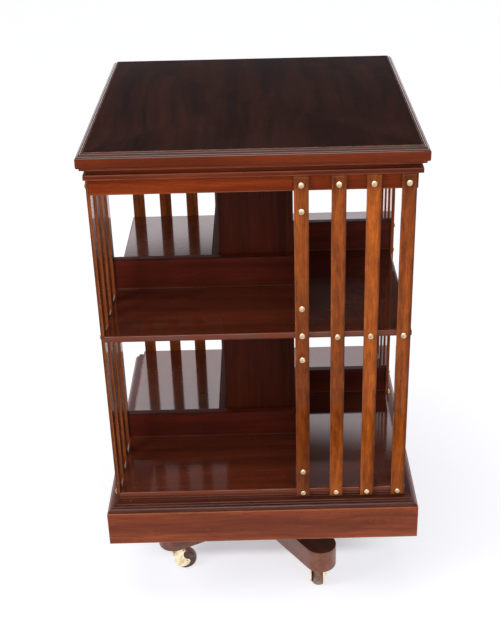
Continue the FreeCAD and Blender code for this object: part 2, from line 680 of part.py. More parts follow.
def castor_fork(number):
    """Brass horn: a crown about the pintle, and two comma-shaped cheeks down to the axle."""
    crown_bottom, crown_top = crown_levels()
    axle = (CASTOR_TRAIL, WHEEL_DIAMETER / 2)
    inner = WHEEL_WIDTH / 2 + WHEEL_CLEARANCE
    outer = inner + CHEEK_THICKNESS
    back, front = -CROWN_DIAMETER / 2, CROWN_DIAMETER / 2
    rise = crown_bottom - axle[1]
    hip = (back, axle[1] + rise / 3)
    keel = (axle[0] - CHEEK_KEEL, axle[1] - CHEEK_DROP)
    belly = (back + (keel[0] - back) / 3.4, keel[1] + (hip[1] - keel[1]) / 3.4)
    eye_tip = round_point(axle, CHEEK_EYE_RADIUS, 0)
    eye_top = round_point(axle, CHEEK_EYE_RADIUS, 90)

    def place(x, z):
        return FreeCAD.Vector(x, inner, z)
    steps = [
        hip,
        (belly, keel),
        ((axle[0], axle[1] - CHEEK_DROP * 0.8), eye_tip),
        (round_point(axle, CHEEK_EYE_RADIUS, 45), eye_top),
        ((axle[0] - CHEEK_EYE_RADIUS, axle[1] + rise / 2), (front, crown_bottom)),
        (front, crown_top),
    ]
    cheek = Part.Face(Part.Wire(outline_edges(place, (back, crown_top), steps)))
    cheek = cheek.extrude(FreeCAD.Vector(0, CHEEK_THICKNESS, 0))
    other = cheek.mirror(ORIGIN, FreeCAD.Vector(0, 1, 0))
    bridge = box(back, front, -inner, inner, crown_bottom, crown_top)
    round_head = rod(2 * outer, crown_bottom, crown_top)
    horn = cheek.multiFuse([other, bridge]).removeSplitter()
    keep = round_head.fuse(box(back, axle[0] + CHEEK_EYE_RADIUS, -outer, outer, 0, crown_bottom))
    horn = horn.common(keep)
    rivet_room = rod(PINTLE_HEAD_DIAMETER + 2 * WHEEL_CLEARANCE, 0, crown_bottom - FACE_CLEARANCE)
    horn = horn.cut(rivet_room)
    horn = horn.cut(rod(PINTLE_DIAMETER + 2 * BORE_CLEARANCE, crown_bottom, crown_top))
    return castor_placed(horn.cut(axle_pin(heads=False)), number)


def axle_pin(heads=True):
    """Pin through both cheeks, its ends riveted over."""
    outer = WHEEL_WIDTH / 2 + WHEEL_CLEARANCE + CHEEK_THICKNESS
    radius, head = AXLE_DIAMETER / 2, AXLE_HEAD_DIAMETER / 2
    steps = [(radius, -outer), (radius, outer), (0, outer)]
    start = (0, -outer)
    if heads:
        end = outer + AXLE_HEAD_HEIGHT
        lip = AXLE_HEAD_HEIGHT / 2
        start = (0, -end)
        steps = [
            (head - lip, -end), (head, -outer - lip), (head, -outer), (radius, -outer),
            (radius, outer), (head, outer), (head, outer + lip), (head - lip, end), (0, end),
        ]
    pin = turning(start, steps)
    pin.rotate(ORIGIN, FreeCAD.Vector(1, 0, 0), 90)
    return moved(pin, CASTOR_TRAIL, 0, WHEEL_DIAMETER / 2)


def castor_axle(number):
    return castor_placed(axle_pin(), number)


def castor_wheel(number):
    """Solid wheel with a crowned tread, bored to run on the axle."""
    radius, half = WHEEL_DIAMETER / 2, WHEEL_WIDTH / 2
    bore = AXLE_DIAMETER / 2 + BORE_CLEARANCE
    shoulder = radius - WHEEL_CROWN
    face = shoulder - WHEEL_CROWN
    steps = [
        (face, -half),
        (shoulder, WHEEL_CROWN - half),
        ((radius, 0), (shoulder, half - WHEEL_CROWN)),
        (face, half),
        (bore, half),
    ]
    wheel = turning((bore, -half), steps)
    wheel.rotate(ORIGIN, FreeCAD.Vector(1, 0, 0), 90)
    return castor_placed(moved(wheel, CASTOR_TRAIL, 0, radius), number)


# ---- all the pieces -----------------------------------------------------------------
def build():
    """Node name to shape; a node of several like pieces is a compound of separate solids."""
    stud_holes = all_stud_holes()
    lower_bar, upper_bar = cross_bars()
    nodes = {
        "cross_bar_lower": lower_bar,
        "cross_bar_upper": upper_bar,
        "pillar": pillar(),
        "pillar_screws": pillar_screws(),
        "spindle": spindle(),
        "spindle_flange": spindle_flange(),
        "spindle_flange_screws": flange_screws(),
        "castor_plates": [castor_plate(number) for number in CASTOR_NUMBERS],
        "castor_plate_screws": plate_screws(),
        "lower_bearing": lower_bearing(),
        "lower_bearing_screws": bearing_screws(),
        "bearing_block": bearing_block(),
        "pivot_cup": pivot_cup(),
        "pivot_cup_screws": cup_screws(),
        "head_block": head_block(),
        "plinth_boards": plinth_boards(),
        "plinth_moulding": plinth_moulding(),
        "plinth_corner_blocks": corner_blocks(),
        "bottom_shelf": shelf(Z_BOTTOM, HALF, stud_holes, SHELF_ARRIS),
        "middle_shelf": shelf(Z_MIDDLE, HALF, stud_holes, SHELF_ARRIS),
        "sub_top": shelf(Z_SUB_TOP, HALF - FRIEZE_BOARD, stud_holes),
        "column_boards": column_boards(),
        "low_rails_lower": book_rails(Z_BOTTOM_TOP, LOWER_LOW_RAIL, stud_holes, rounded_top=True),
        "top_rails_lower": book_rails(Z_LOWER_RAIL, LOWER_TOP_RAIL, stud_holes),
        "low_rails_upper": book_rails(Z_MIDDLE_TOP, UPPER_LOW_RAIL, stud_holes, rounded_top=True),
        "top_rails_upper": book_rails(Z_UPPER_RAIL, UPPER_TOP_RAIL, stud_holes, notch=FRIEZE_DROP),
        "frieze_boards": frieze_boards(stud_holes),
        "cornice": cornice(),
        "top_board": box(-PANEL_HALF, PANEL_HALF, -PANEL_HALF, PANEL_HALF, Z_TOP, Z_TOP + TOP_THICKNESS),
        "top_edging": top_edging(),
        "slat_studs": [turned(one, quarter) for quarter in QUARTERS for one in face_studs()],
    }
    for number in CASTOR_NUMBERS:
        nodes["castor_fork_%d" % number] = castor_fork(number)
        nodes["castor_axle_%d" % number] = castor_axle(number)
        nodes["castor_wheel_%d" % number] = castor_wheel(number)
    for side, quarter in zip(("front", "right", "back", "left"), QUARTERS):
        for index, place in enumerate(SLAT_PLACES, 1):
            holes = [stud(place, level, True) for level in stud_levels(place)]
            nodes["slat_%s_%d" % (side, index)] = turned(drilled(slat(place), holes), quarter)
    return nodes


def main():
    os.makedirs("parts", exist_ok=True)
    for name, shape in build().items():
        if isinstance(shape, list):
            shape = Part.makeCompound([solid for piece in shape for solid in piece.Solids])
        elif len(shape.Solids) == 1:
            shape = shape.Solids[0]
        shape.exportStep("parts/%s.step" % name)
        print("%-24s %3d solids  %12.1f mm3" % (name, len(shape.Solids), shape.Volume))


main()
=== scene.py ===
import json
import math
import random

import bmesh
import bpy
from mathutils import Matrix, Vector


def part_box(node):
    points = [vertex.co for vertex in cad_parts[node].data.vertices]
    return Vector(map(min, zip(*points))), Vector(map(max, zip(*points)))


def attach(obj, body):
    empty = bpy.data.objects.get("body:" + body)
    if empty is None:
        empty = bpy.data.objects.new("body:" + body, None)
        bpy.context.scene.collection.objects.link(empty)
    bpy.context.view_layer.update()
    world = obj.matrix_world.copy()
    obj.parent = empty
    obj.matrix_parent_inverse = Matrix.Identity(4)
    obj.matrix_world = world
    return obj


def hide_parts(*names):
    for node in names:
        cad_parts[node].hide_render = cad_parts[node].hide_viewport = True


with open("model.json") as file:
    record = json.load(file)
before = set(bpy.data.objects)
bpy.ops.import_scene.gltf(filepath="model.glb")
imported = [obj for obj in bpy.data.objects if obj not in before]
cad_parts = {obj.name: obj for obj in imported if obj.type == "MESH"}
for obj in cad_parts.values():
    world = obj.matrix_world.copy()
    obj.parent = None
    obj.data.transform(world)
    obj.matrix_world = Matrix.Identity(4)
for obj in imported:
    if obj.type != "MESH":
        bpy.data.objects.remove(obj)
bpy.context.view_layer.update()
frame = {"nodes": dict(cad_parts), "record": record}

MM = 0.001
QUARTERS = range(4)
EIGHTH = math.sqrt(0.5)     # sine and cosine of an eighth of a turn

# ---- sizes of the joinery, in millimetres, on top of what the frame gives ----------------
ARRIS = 0.7            # how far a cabinet maker's paper takes a sharp corner off
EASE_SPAN = 1.9        # how far the rubbed colour runs in from an arris
QUIRK_SPAN = 1.1       # how far old polish fills out of an inner corner
FLAT_TURN = 24.0       # degrees below which a corner of a section counts as part of a curve
SIDE_SHARE = 0.42      # share of a side that one arris may take
GUARD_SHARE = 1.08     # and, of that share, what its rubbed colour may take
ARRIS_BOW = 0.45       # how far an eased arris swells towards the corner
MITRE_RUB = 2.2        # how far the rubbed colour runs in from a mitre
MITRE_DEPTH = 16.0     # and how deep behind the outermost face it starts
PLINTH_BOARD = 18.0
FRIEZE_BOARD = 14.0
COLUMN_BOARD = 12.0
RAIL_THICKNESS = 14.0
NOTCH_STEP = 0.01      # a notch's shoulder, as good as square
MOULDING_REST = 20.0   # how far the plinth's moulding reaches in under the shelf
LEDGE_DROP = 4.5       # slat ledge below the bottom shelf
LEDGE_LIP = 12.0       # ledge in front of the shelf's edge
LIP_HEIGHT = 1.5
HOLLOW_DEPTH = 1.6
OVOLO = (7.0, 6.5)     # width and height
QUIRK = 0.5
CORNICE_FILLET = 3.6
CAVETTO = 7.8
BEAD = (6.5, 7.8)      # reach and height
BEAD_STEP = 1.1
EDGE_STEP = 0.6
EDGE_ROUNDS = ((3.3, 1.5), (3.8, 1.8), (2.4, 1.8))     # width and fall, from the flat outward
EDGE_UNDER = 3.5
TOP_ARRIS = 0.5
TOP_RUB = 1.8
SHELF_EASE = 1.5
SHELF_EDGE_WEAR = 0.85  # polish handled off the shelves' edges
SLAT_EASE = 0.4
SLAT_BITE = 0.6        # how far a slat is let into the shelves' edges
SLAT_LEFT_HIGHLIGHT = 2.4         # width of the painted highlight on a slat's left margin, towards the key lamp
SLAT_RIGHT_SHADE = 5.0      # width of the painted shade on a slat's right margin
SLAT_SHINE = 0.85      # how much its left arris is lightened, a painted highlight, and how far its back corners are rubbed
# painted shade on a slat's back face, which faces into the case
SLAT_BACK_SHADE = 0.4
SLAT_SLOPE = (2.5, 2.6)     # depth and height of a slat's sloped end
SLAT_HEAD_SHADE = 34.0       # how far a painted shade from the cornice reaches down a slat from its head; half of it bounds the darker band above its foot
STUD_RADIUS = 5.2
STUD_HEIGHT = 3.4
SHANK_RADIUS = 1.2
SHANK_LENGTH = 27.5
RAIL_STUD_INSET = 11.0      # stud to the rail's free edge
FIRST_STUD_RISE = 1.5       # first slat's middle stud above the middle of its shelf
STEPPED_STUD_DROP = 1.5     # the other slats' middle studs below it


# =========================================================================================
# Node helpers
# =========================================================================================
class Wiring:
    """Adds nodes to a tree and sets or links their inputs."""

    def __init__(self, tree):
        self.nodes = tree.nodes
        self.links = tree.links

    def add(self, kind, **settings):
        node = self.nodes.new(kind)
        for key, value in settings.items():
            setattr(node, key, value)
        return node

    def join(self, source, target):
        self.links.new(source, target)

    def put(self, value, socket):
        """Links the socket where value is one, and sets it where value is plain."""
        if isinstance(value, bpy.types.NodeSocket):
            self.join(value, socket)
        else:
            socket.default_value = value

    def feed(self, node, **values):
        """Sets or links inputs; the keys are socket names with _ for a space."""
        for key, value in values.items():
            self.put(value, node.inputs[key.replace("_", " ")])
        return node

    def math(self, operation, a, b=None, clamp=False):
        node = self.add("ShaderNodeMath", operation=operation, use_clamp=clamp)
        self.put(a, node.inputs[0])
        if b is not None:
            self.put(b, node.inputs[1])
        return node.outputs[0]

    def vector(self, operation, a, b=None, scale=None):
        node = self.add("ShaderNodeVectorMath", operation=operation)
        self.put(a, node.inputs[0])
        if b is not None:
            self.put(b, node.inputs[1])
        if scale is not None:
            self.put(scale, node.inputs["Scale"])
        return node.outputs["Value" if operation in ("LENGTH", "DOT_PRODUCT") else "Vector"]

    def span(self, value, low, high, out_low=0.0, out_high=1.0, smooth=True):
        """Runs from out_low to out_high while value runs from low to high, and holds beyond."""
        kind = "SMOOTHSTEP" if smooth else "LINEAR"
        node = self.add("ShaderNodeMapRange", interpolation_type=kind, clamp=True)
        self.feed(node, Value=value, From_Min=low, From_Max=high, To_Min=out_low, To_Max=out_high)
        return node.outputs["Result"]

    def blend(self, factor, a, b, mode="MIX"):
        """Mixes b into a by factor, through the Mix node's sockets for colours."""
        node = self.add("ShaderNodeMix", data_type="RGBA", blend_type=mode, clamp_factor=True)
        for index, value in ((0, factor), (6, a), (7, b)):
            self.put(value, node.inputs[index])
        return node.outputs[2]

    def noise(self, vector, scale, detail=2.0, roughness=0.5):
        node = self.add("ShaderNodeTexNoise")
        self.feed(node, Vector=vector, Scale=scale, Detail=detail, Roughness=roughness)
        return node.outputs["Fac"]

    def combine(self, **axes):
        node = self.add("ShaderNodeCombineXYZ")
        return self.feed(node, **axes).outputs[0]

    def separate(self, vector):
        node = self.add("ShaderNodeSeparateXYZ")
        self.put(vector, node.inputs[0])
        return node.outputs


def srgb(r, g, b):
    """A colour given as the eye reads it, 0 to 255, as the shader's linear colour."""
    def linear(v):
        v /= 255.0
        return v / 12.92 if v <= 0.04045 else ((v + 0.055) / 1.055) ** 2.4
    return (linear(r), linear(g), linear(b), 1.0)


def shader_group(name, inputs, outputs):
    """An empty node group with its sockets; gives the wiring, the group's inputs and its output node."""
    tree = bpy.data.node_groups.new(name, "ShaderNodeTree")
    for socket_name, kind, default in inputs:
        socket = tree.interface.new_socket(name=socket_name, in_out="INPUT", socket_type=kind)
        if default is not None:
            socket.default_value = default
    for socket_name, kind in outputs:
        tree.interface.new_socket(name=socket_name, in_out="OUTPUT", socket_type=kind)
    wiring = Wiring(tree)
    entry = wiring.add("NodeGroupInput")
    leave = wiring.add("NodeGroupOutput")
    return tree, wiring, entry.outputs, leave.inputs


# =========================================================================================
# Shared effects
# =========================================================================================
def mahogany_figure():
    """Grain of mahogany on a board: X of the vector runs along the grain, in metres."""
    tree, w, given, result = shader_group(
        "mahogany_figure",
        [("Vector", "NodeSocketVector", None), ("Tone", "NodeSocketFloat", 0.5),
         ("Figure", "NodeSocketFloat", 0.5)],
        [("Bands", "NodeSocketFloat"), ("Fibres", "NodeSocketFloat"), ("Pores", "NodeSocketFloat")],
    )
    shift = w.vector("SCALE", (7.3, 3.1, 5.7), scale=given["Tone"])
    place = w.vector("ADD", given["Vector"], shift)
    sway = w.noise(w.vector("MULTIPLY", place, (3.0, 7.0, 7.0)), 1.0, 2.0)
    swing = w.math("MULTIPLY", w.math("SUBTRACT", sway, 0.5), w.math("MULTIPLY", given["Figure"], 0.09))
    place = w.vector("ADD", place, w.combine(Y=swing))
    broad = w.noise(w.vector("MULTIPLY", place, (2.2, 34.0, 34.0)), 1.0, 3.0, 0.55)
    stripe = w.noise(w.vector("MULTIPLY", place, (4.5, 150.0, 150.0)), 1.0, 3.0, 0.6)
    bands = w.math("ADD", w.math("MULTIPLY", broad, 0.62), w.math("MULTIPLY", stripe, 0.38))
    w.join(w.span(bands, 0.33, 0.67), result["Bands"])
    fibres = w.noise(w.vector("MULTIPLY", place, (30.0, 900.0, 900.0)), 1.0, 2.0, 0.6)
    w.join(w.span(fibres, 0.3, 0.7), result["Fibres"])
    flecks = w.noise(w.vector("MULTIPLY", place, (130.0, 1900.0, 1900.0)), 1.0, 1.0, 0.5)
    w.join(w.span(flecks, 0.62, 0.72), result["Pores"])
    return tree


def polish_wear():
    """Where polish is rubbed thin on arrises and lies thick and dark in quirks, and where painted highlights
    and shades lie, broken up a little.
    """
    tree, w, given, result = shader_group(
        "polish_wear",
        [("Vector", "NodeSocketVector", None), ("Wear", "NodeSocketFloat", 0.0),
         ("Grime", "NodeSocketFloat", 0.0)],
        [("Rubbed", "NodeSocketFloat"), ("Soiled", "NodeSocketFloat")],
    )
    patches = w.noise(w.vector("MULTIPLY", given["Vector"], (22.0, 60.0, 60.0)), 1.0, 3.0, 0.6)
    bite = w.span(patches, 0.3, 0.7, 0.45, 1.0)
    w.join(w.math("MULTIPLY", given["Wear"], bite, clamp=True), result["Rubbed"])
    cling = w.span(patches, 0.25, 0.75, 1.0, 0.6)
    w.join(w.math("MULTIPLY", given["Grime"], cling, clamp=True), result["Soiled"])
    return tree


def handling_marks():
    """Cloudy smears that break up a polished face."""
    tree, w, given, result = shader_group(
        "handling_marks",
        [("Vector", "NodeSocketVector", None)],
        [("Smears", "NodeSocketFloat")],
    )
    w.join(w.span(w.noise(given["Vector"], 11.0, 4.0, 0.6), 0.35, 0.7), result["Smears"])
    return tree


FIGURE = mahogany_figure()
WEAR_AND_SHADE = polish_wear()
MARKS = handling_marks()


def place_group(w, tree, **values):
    node = w.add("ShaderNodeGroup")
    node.node_tree = tree
    return w.feed(node, **values)


def bare_material(name):
    """A material with nothing but its output; gives the wiring and the surface socket."""
    material = bpy.data.materials.new(name)
    material.use_nodes = True
    material.node_tree.nodes.clear()
    w = Wiring(material.node_tree)
    return material, w, w.add("ShaderNodeOutputMaterial").inputs["Surface"]


def new_material(name):
    material, w, surface = bare_material(name)
    shader = w.add("ShaderNodeBsdfPrincipled")
    w.join(shader.outputs[0], surface)
    return material, w, shader


def add_bump(w, shader, strength, distance, height):
    bump = w.feed(w.add("ShaderNodeBump"), Strength=strength, Distance=distance, Height=height)
    w.join(bump.outputs[0], shader.inputs["Normal"])


def board_coordinates(w):
    """Grain coordinates, tone, and the wear and grime attributes that the joinery carries, which also hold
    painted highlights and shades.
    """
    outputs = []
    for name in ("grain", "wear", "grime", "tone"):
        node = w.add("ShaderNodeAttribute", attribute_name=name)
        outputs.append(node.outputs["Vector" if name == "grain" else "Fac"])
    return outputs


def mahogany(name, dark, light, rub_and_highlight, soiled, figure=0.5, pore_depth=0.45, gloss=0.3, specular=0.3,
             coat=0.0, coat_ior=1.5, coat_roughness=0.1, tone_swing=0.3, mottle=0.0, turned=None,
             painted_top_shade=0.0):
    """French-polished mahogany.

    tone_swing is how far one board may differ from the next, and mottle how cloudy the figure is. turned,
    a rotation, is for solid pieces that carry no board attributes. The top shade is a painted shade: how far
    upward faces are darkened towards the dark colour; where it is set, only upward faces keep the coat.
    """
    material, w, shader = new_material(name)
    coordinates = w.add("ShaderNodeTexCoord")
    if turned is None:
        grain, wear, grime, tone = board_coordinates(w)
    else:
        mapping = w.add("ShaderNodeMapping")
        w.feed(mapping, Vector=coordinates.outputs["Object"], Rotation=turned)
        grain, wear, grime, tone = mapping.outputs[0], 0.0, 0.0, 0.4
    wood = place_group(w, FIGURE, Vector=grain, Tone=tone, Figure=figure)
    rub = place_group(w, WEAR_AND_SHADE, Vector=grain, Wear=wear, Grime=grime)
    marks = place_group(w, MARKS, Vector=grain)
    bands = wood.outputs["Bands"]
    if mottle:
        cloud = w.span(w.noise(w.vector("MULTIPLY", grain, (34.0, 120.0, 120.0)), 1.0, 3.0, 0.6), 0.36, 0.64)
        bands = w.blend(mottle, bands, cloud)
    tint = w.blend(bands, dark, light)
    fine = w.blend(w.span(wood.outputs["Fibres"], 0.0, 1.0, 0.0, 0.5), tint, dark)
    if turned is None:
        value = w.span(tone, 0.0, 1.0, 1.0 - tone_swing / 2, 1.0 + tone_swing / 2, smooth=False)
        shade = w.feed(w.add("ShaderNodeCombineColor"), Red=value, Green=value, Blue=value)
        fine = w.blend(1.0, fine, shade.outputs[0], "MULTIPLY")
    # painted shade on upward faces: they are darkened towards the dark colour, and only they keep the coat
    if painted_top_shade:
        rise = w.separate(coordinates.outputs["Normal"])["Z"]
        fine = w.blend(w.span(rise, 0.3, 0.8, 0.0, painted_top_shade), fine, soiled)
        coat = w.span(rise, 0.1, 0.6, 0.0, coat)
    pores = w.math("MULTIPLY", wood.outputs["Pores"], pore_depth)
    fine = w.blend(pores, fine, soiled)
    fine = w.blend(rub.outputs["Rubbed"], fine, rub_and_highlight)
    fine = w.blend(rub.outputs["Soiled"], fine, soiled)
    w.join(fine, shader.inputs["Base Color"])
    rough = w.span(marks.outputs["Smears"], 0.0, 1.0, gloss, gloss + 0.09)
    worn = w.math("MAXIMUM", rub.outputs["Rubbed"], rub.outputs["Soiled"])
    w.join(w.math("ADD", rough, w.math("MULTIPLY", worn, 0.3)), shader.inputs["Roughness"])
    w.feed(shader, Specular_IOR_Level=specular, Coat_IOR=coat_ior, Coat_Roughness=coat_roughness,
           Coat_Weight=w.math("MULTIPLY", w.math("SUBTRACT", 1.0, worn), coat) if coat else 0.0)
    height = w.math("SUBTRACT", w.math("MULTIPLY", wood.outputs["Fibres"], 0.25), wood.outputs["Pores"])
    add_bump(w, shader, 0.12, 0.0002, height)
    return material


def old_brass(name, bright, dull, roughness, dents, rim=None):
    """Lacquered brass gone dull in places, darker at a rim attribute where one is named."""
    material, w, shader = new_material(name)
    at = w.add("ShaderNodeTexCoord").outputs["Object"]
    cloud = w.span(w.noise(at, 140.0, 3.0, 0.6), 0.38, 0.66)
    tint = w.blend(w.math("MULTIPLY", cloud, 0.55), bright, dull)
    if rim:
        edge = w.add("ShaderNodeAttribute", attribute_name=rim).outputs["Fac"]
        tint = w.blend(w.span(edge, 0.80, 1.0, 0.0, 0.85), tint, dull)
    spots = w.span(w.noise(at, 900.0, 2.0, 0.5), 0.66, 0.74, 0.0, 0.5)
    w.join(w.blend(spots, tint, srgb(70, 52, 34)), shader.inputs["Base Color"])
    w.feed(shader, Metallic=1.0)
    w.join(w.span(cloud, 0.0, 1.0, roughness, roughness + 0.14), shader.inputs["Roughness"])
    add_bump(w, shader, dents, 0.0006, w.noise(at, 260.0, 2.0, 0.5))
    return material


def oiled_iron():
    material, w, shader = new_material("oiled_iron")
    at = w.add("ShaderNodeTexCoord").outputs["Object"]
    cloud = w.noise(at, 90.0, 4.0, 0.65)
    w.join(w.blend(w.span(cloud, 0.35, 0.7), srgb(74, 72, 72), srgb(96, 78, 66)), shader.inputs["Base Color"])
    w.feed(shader, Metallic=0.85)
    w.join(w.span(cloud, 0.3, 0.7, 0.32, 0.5), shader.inputs["Roughness"])
    add_bump(w, shader, 0.25, 0.0004, w.noise(at, 700.0, 3.0, 0.6))
    return material


def worn_and_lit_wheel(name, axle):
    """Dark hard wheel on an axle of that direction, dusty and scuffed, its tread paler: partly wear, partly
    painted light.
    """
    material, w, shader = new_material(name)
    coordinates = w.add("ShaderNodeTexCoord").outputs
    at = coordinates["Object"]
    cloud = w.span(w.noise(at, 120.0, 4.0, 0.6), 0.35, 0.7)
    scuffs = w.span(w.noise(w.vector("MULTIPLY", at, (1.0, 1.0, 0.35)), 620.0, 2.0, 0.6), 0.6, 0.72)
    side = w.math("ABSOLUTE", w.vector("DOT_PRODUCT", coordinates["Normal"], axle))
    # the paler tread is partly wear and partly painted light from the floor and lamps
    tread = w.span(side, 0.4, 0.9, 1.0, 0.0)
    tint = w.blend(cloud, srgb(84, 54, 48), srgb(124, 92, 84))
    tint = w.blend(tread, tint, w.blend(cloud, srgb(124, 92, 80), srgb(176, 142, 126)))
    tint = w.blend(w.math("MULTIPLY", scuffs, 0.5), tint, srgb(150, 128, 118))
    w.join(tint, shader.inputs["Base Color"])
    w.join(w.span(cloud, 0.0, 1.0, 0.3, 0.5), shader.inputs["Roughness"])
    w.feed(shader, Specular_IOR_Level=0.4)
    add_bump(w, shader, 0.3, 0.0004, w.noise(at, 500.0, 3.0, 0.6))
    return material


RUBBED = srgb(170, 104, 74)
SOIL_AND_SHADE = srgb(30, 15, 11)
FRONT_WOOD = mahogany(
    "polished_mahogany", srgb(98, 36, 12), srgb(156, 64, 22), srgb(156, 86, 54), SOIL_AND_SHADE, specular=0.07)
# a darker copy of the mahogany: painted shade inside the case
SHELF_WOOD = mahogany(
    "shelf_mahogany", srgb(66, 26, 14), srgb(100, 43, 24), srgb(118, 54, 28), SOIL_AND_SHADE,
    figure=0.2, gloss=0.2, specular=0.08, coat=1.0, coat_ior=1.9, coat_roughness=0.07)
SLAT_WOOD = mahogany(
    "slat_mahogany", srgb(96, 41, 12), srgb(188, 96, 28), srgb(150, 92, 66), srgb(48, 21, 11),
    figure=0.25, pore_depth=0.7, gloss=0.14, specular=0.1, coat=1.0, coat_ior=1.22, coat_roughness=0.05,
    tone_swing=0.35, mottle=0.3)
TOP_WOOD = mahogany(
    "table_top_mahogany", srgb(28, 14, 12), srgb(58, 28, 20), srgb(140, 100, 84), SOIL_AND_SHADE,
    figure=1.0, pore_depth=0.25, specular=0.06)
# its upward faces darkened by the top shade: a painted shade for the dark the reeds reflect
EDGING_WOOD = mahogany(
    "edging_mahogany", srgb(88, 34, 14), srgb(136, 56, 24), srgb(150, 92, 70), SOIL_AND_SHADE,
    specular=0.09, coat=0.8, coat_roughness=0.06, painted_top_shade=0.85)
# a darker copy of the frieze's mahogany with upward faces darkened: painted shade in the hollow under the top
CORNICE_WOOD = mahogany(
    "cornice_mahogany", srgb(84, 34, 18), srgb(136, 58, 30), srgb(150, 86, 60), SOIL_AND_SHADE,
    specular=0.09, coat=0.4, coat_roughness=0.15, painted_top_shade=0.3)
PLINTH_WOOD = mahogany(
    "plinth_mahogany", srgb(104, 46, 24), srgb(172, 84, 48), srgb(156, 94, 60), SOIL_AND_SHADE,
    gloss=0.2, specular=0.2)
# a darker copy of the plinth's mahogany: painted shade on the ledge under the bottom shelf's edge
MOULDING_WOOD = mahogany(
    "moulding_mahogany", srgb(58, 25, 16), srgb(100, 46, 29), srgb(112, 66, 48), SOIL_AND_SHADE, gloss=0.22)
# a darker copy of the mahogany: painted shade inside the case
RAIL_WOOD = mahogany(
    "rail_mahogany", srgb(66, 21, 12), srgb(100, 35, 21), srgb(112, 76, 62), SOIL_AND_SHADE, specular=0.12)
# a darker copy of the mahogany: painted shade inside the case
COLUMN_WOOD = mahogany(
    "column_mahogany", srgb(54, 20, 11), srgb(86, 34, 18), srgb(64, 26, 15), SOIL_AND_SHADE, specular=0.08)
# a pale pinkish copy of the mahogany, painted light thrown up from the floor; upward faces darkened, painted
# shade under the carcass
FLOOR_LIT_BASE_WOOD = mahogany(
    "base_mahogany", srgb(124, 66, 44), srgb(170, 106, 80), RUBBED, SOIL_AND_SHADE,
    specular=0.45, turned=(0.0, 0.0, math.radians(59.0)), painted_top_shade=0.5)
# upward faces darkened: painted shade under the carcass
CROSS_WOOD = mahogany(
    "cross_mahogany", srgb(100, 52, 40), srgb(142, 88, 70), RUBBED, SOIL_AND_SHADE,
    specular=0.45, turned=(0.0, 0.0, math.radians(-31.0)), painted_top_shade=0.4)
PILLAR_WOOD = mahogany(
    "pillar_mahogany", srgb(84, 34, 20), srgb(122, 54, 30), RUBBED, SOIL_AND_SHADE,
    turned=(0.0, math.radians(90.0), 0.0))
BLOCK_WOOD = mahogany(
    "block_mahogany", srgb(110, 62, 40), srgb(146, 92, 62), RUBBED, SOIL_AND_SHADE,
    gloss=0.6, specular=0.1, turned=(0.0, 0.0, 0.0))
STUD_BRASS = old_brass("stud_brass", srgb(255, 241, 200), srgb(176, 138, 88), 0.2, 0.15, rim="dome")
CASTOR_BRASS = old_brass("castor_brass", srgb(255, 242, 206), srgb(190, 158, 108), 0.26, 0.3)
IRON = oiled_iron()


# =========================================================================================
# Sections and boards
# =========================================================================================
def arc_points(start, middle, end, steps):
    """Points after start, up to end, on the arc that passes through middle."""
    ax, ay, bx, by, cx, cy = *start, *middle, *end
    d = 2 * (ax * (by - cy) + bx * (cy - ay) + cx * (ay - by))
    ux = ((ax**2 + ay**2) * (by - cy) + (bx**2 + by**2) * (cy - ay) + (cx**2 + cy**2) * (ay - by)) / d
    uy = ((ax**2 + ay**2) * (cx - bx) + (bx**2 + by**2) * (ax - cx) + (cx**2 + cy**2) * (bx - ax)) / d
    radius = math.hypot(ax - ux, ay - uy)
    a0, a1 = math.atan2(ay - uy, ax - ux), math.atan2(cy - uy, cx - ux)
    am = math.atan2(by - uy, bx - ux)
    turn = (a1 - a0) % math.tau
    if (am - a0) % math.tau > turn:
        turn -= math.tau
    return [(ux + radius * math.cos(a0 + turn * i / steps), uy + radius * math.sin(a0 + turn * i / steps))
            for i in range(1, steps + 1)]


def falling_round(start, width, fall):
    """Points of a convex round that leaves start level, in section coordinates."""
    radius = (width**2 + fall**2) / (2 * fall)
    half = math.atan(fall / width)
    middle = (start[0] + radius * math.sin(half), start[1] - radius * (1 - math.cos(half)))
    return arc_points(start, middle, (start[0] + width, start[1] - fall), steps=6)


def softened(points, arris=ARRIS, sharp=()):
    """A closed section with eased arrises: (point, wear, grime) triples.

    The points run anticlockwise, so that a left turn is an outer corner and a right turn an inner one.
    Points whose number is in sharp stay as they are.
    """
    result = []
    for i, point in enumerate(points):
        here = Vector(point)
        back, ahead = Vector(points[i - 1]) - here, Vector(points[(i + 1) % len(points)]) - here
        turn = math.atan2((-back).cross(ahead), (-back).dot(ahead))
        if abs(turn) < math.radians(FLAT_TURN) or i in sharp:
            result.append((tuple(here), 0.0, 0.0))
            continue
        to_last, to_next = back.normalized(), ahead.normalized()
        spans = (SIDE_SHARE * back.length, SIDE_SHARE * ahead.length)
        if turn > 0:
            cut = min(arris, *spans)
            guard = [min(arris + EASE_SPAN, span * GUARD_SHARE) for span in spans]
            p0, p1 = here + to_last * cut, here + to_next * cut
            bow = (p0 + p1) / 2 + (here - (p0 + p1) / 2) * ARRIS_BOW
            middle = [(tuple(p0), 0.75, 0.0), (tuple(bow), 1.0, 0.0), (tuple(p1), 0.75, 0.0)]
        else:
            guard = [min(QUIRK_SPAN, span) for span in spans]
            middle = [(tuple(here), 0.0, 1.0)]
        result += [(tuple(here + to_last * guard[0]), 0.0, 0.0), *middle,
                   (tuple(here + to_next * guard[1]), 0.0, 0.0)]
    return result


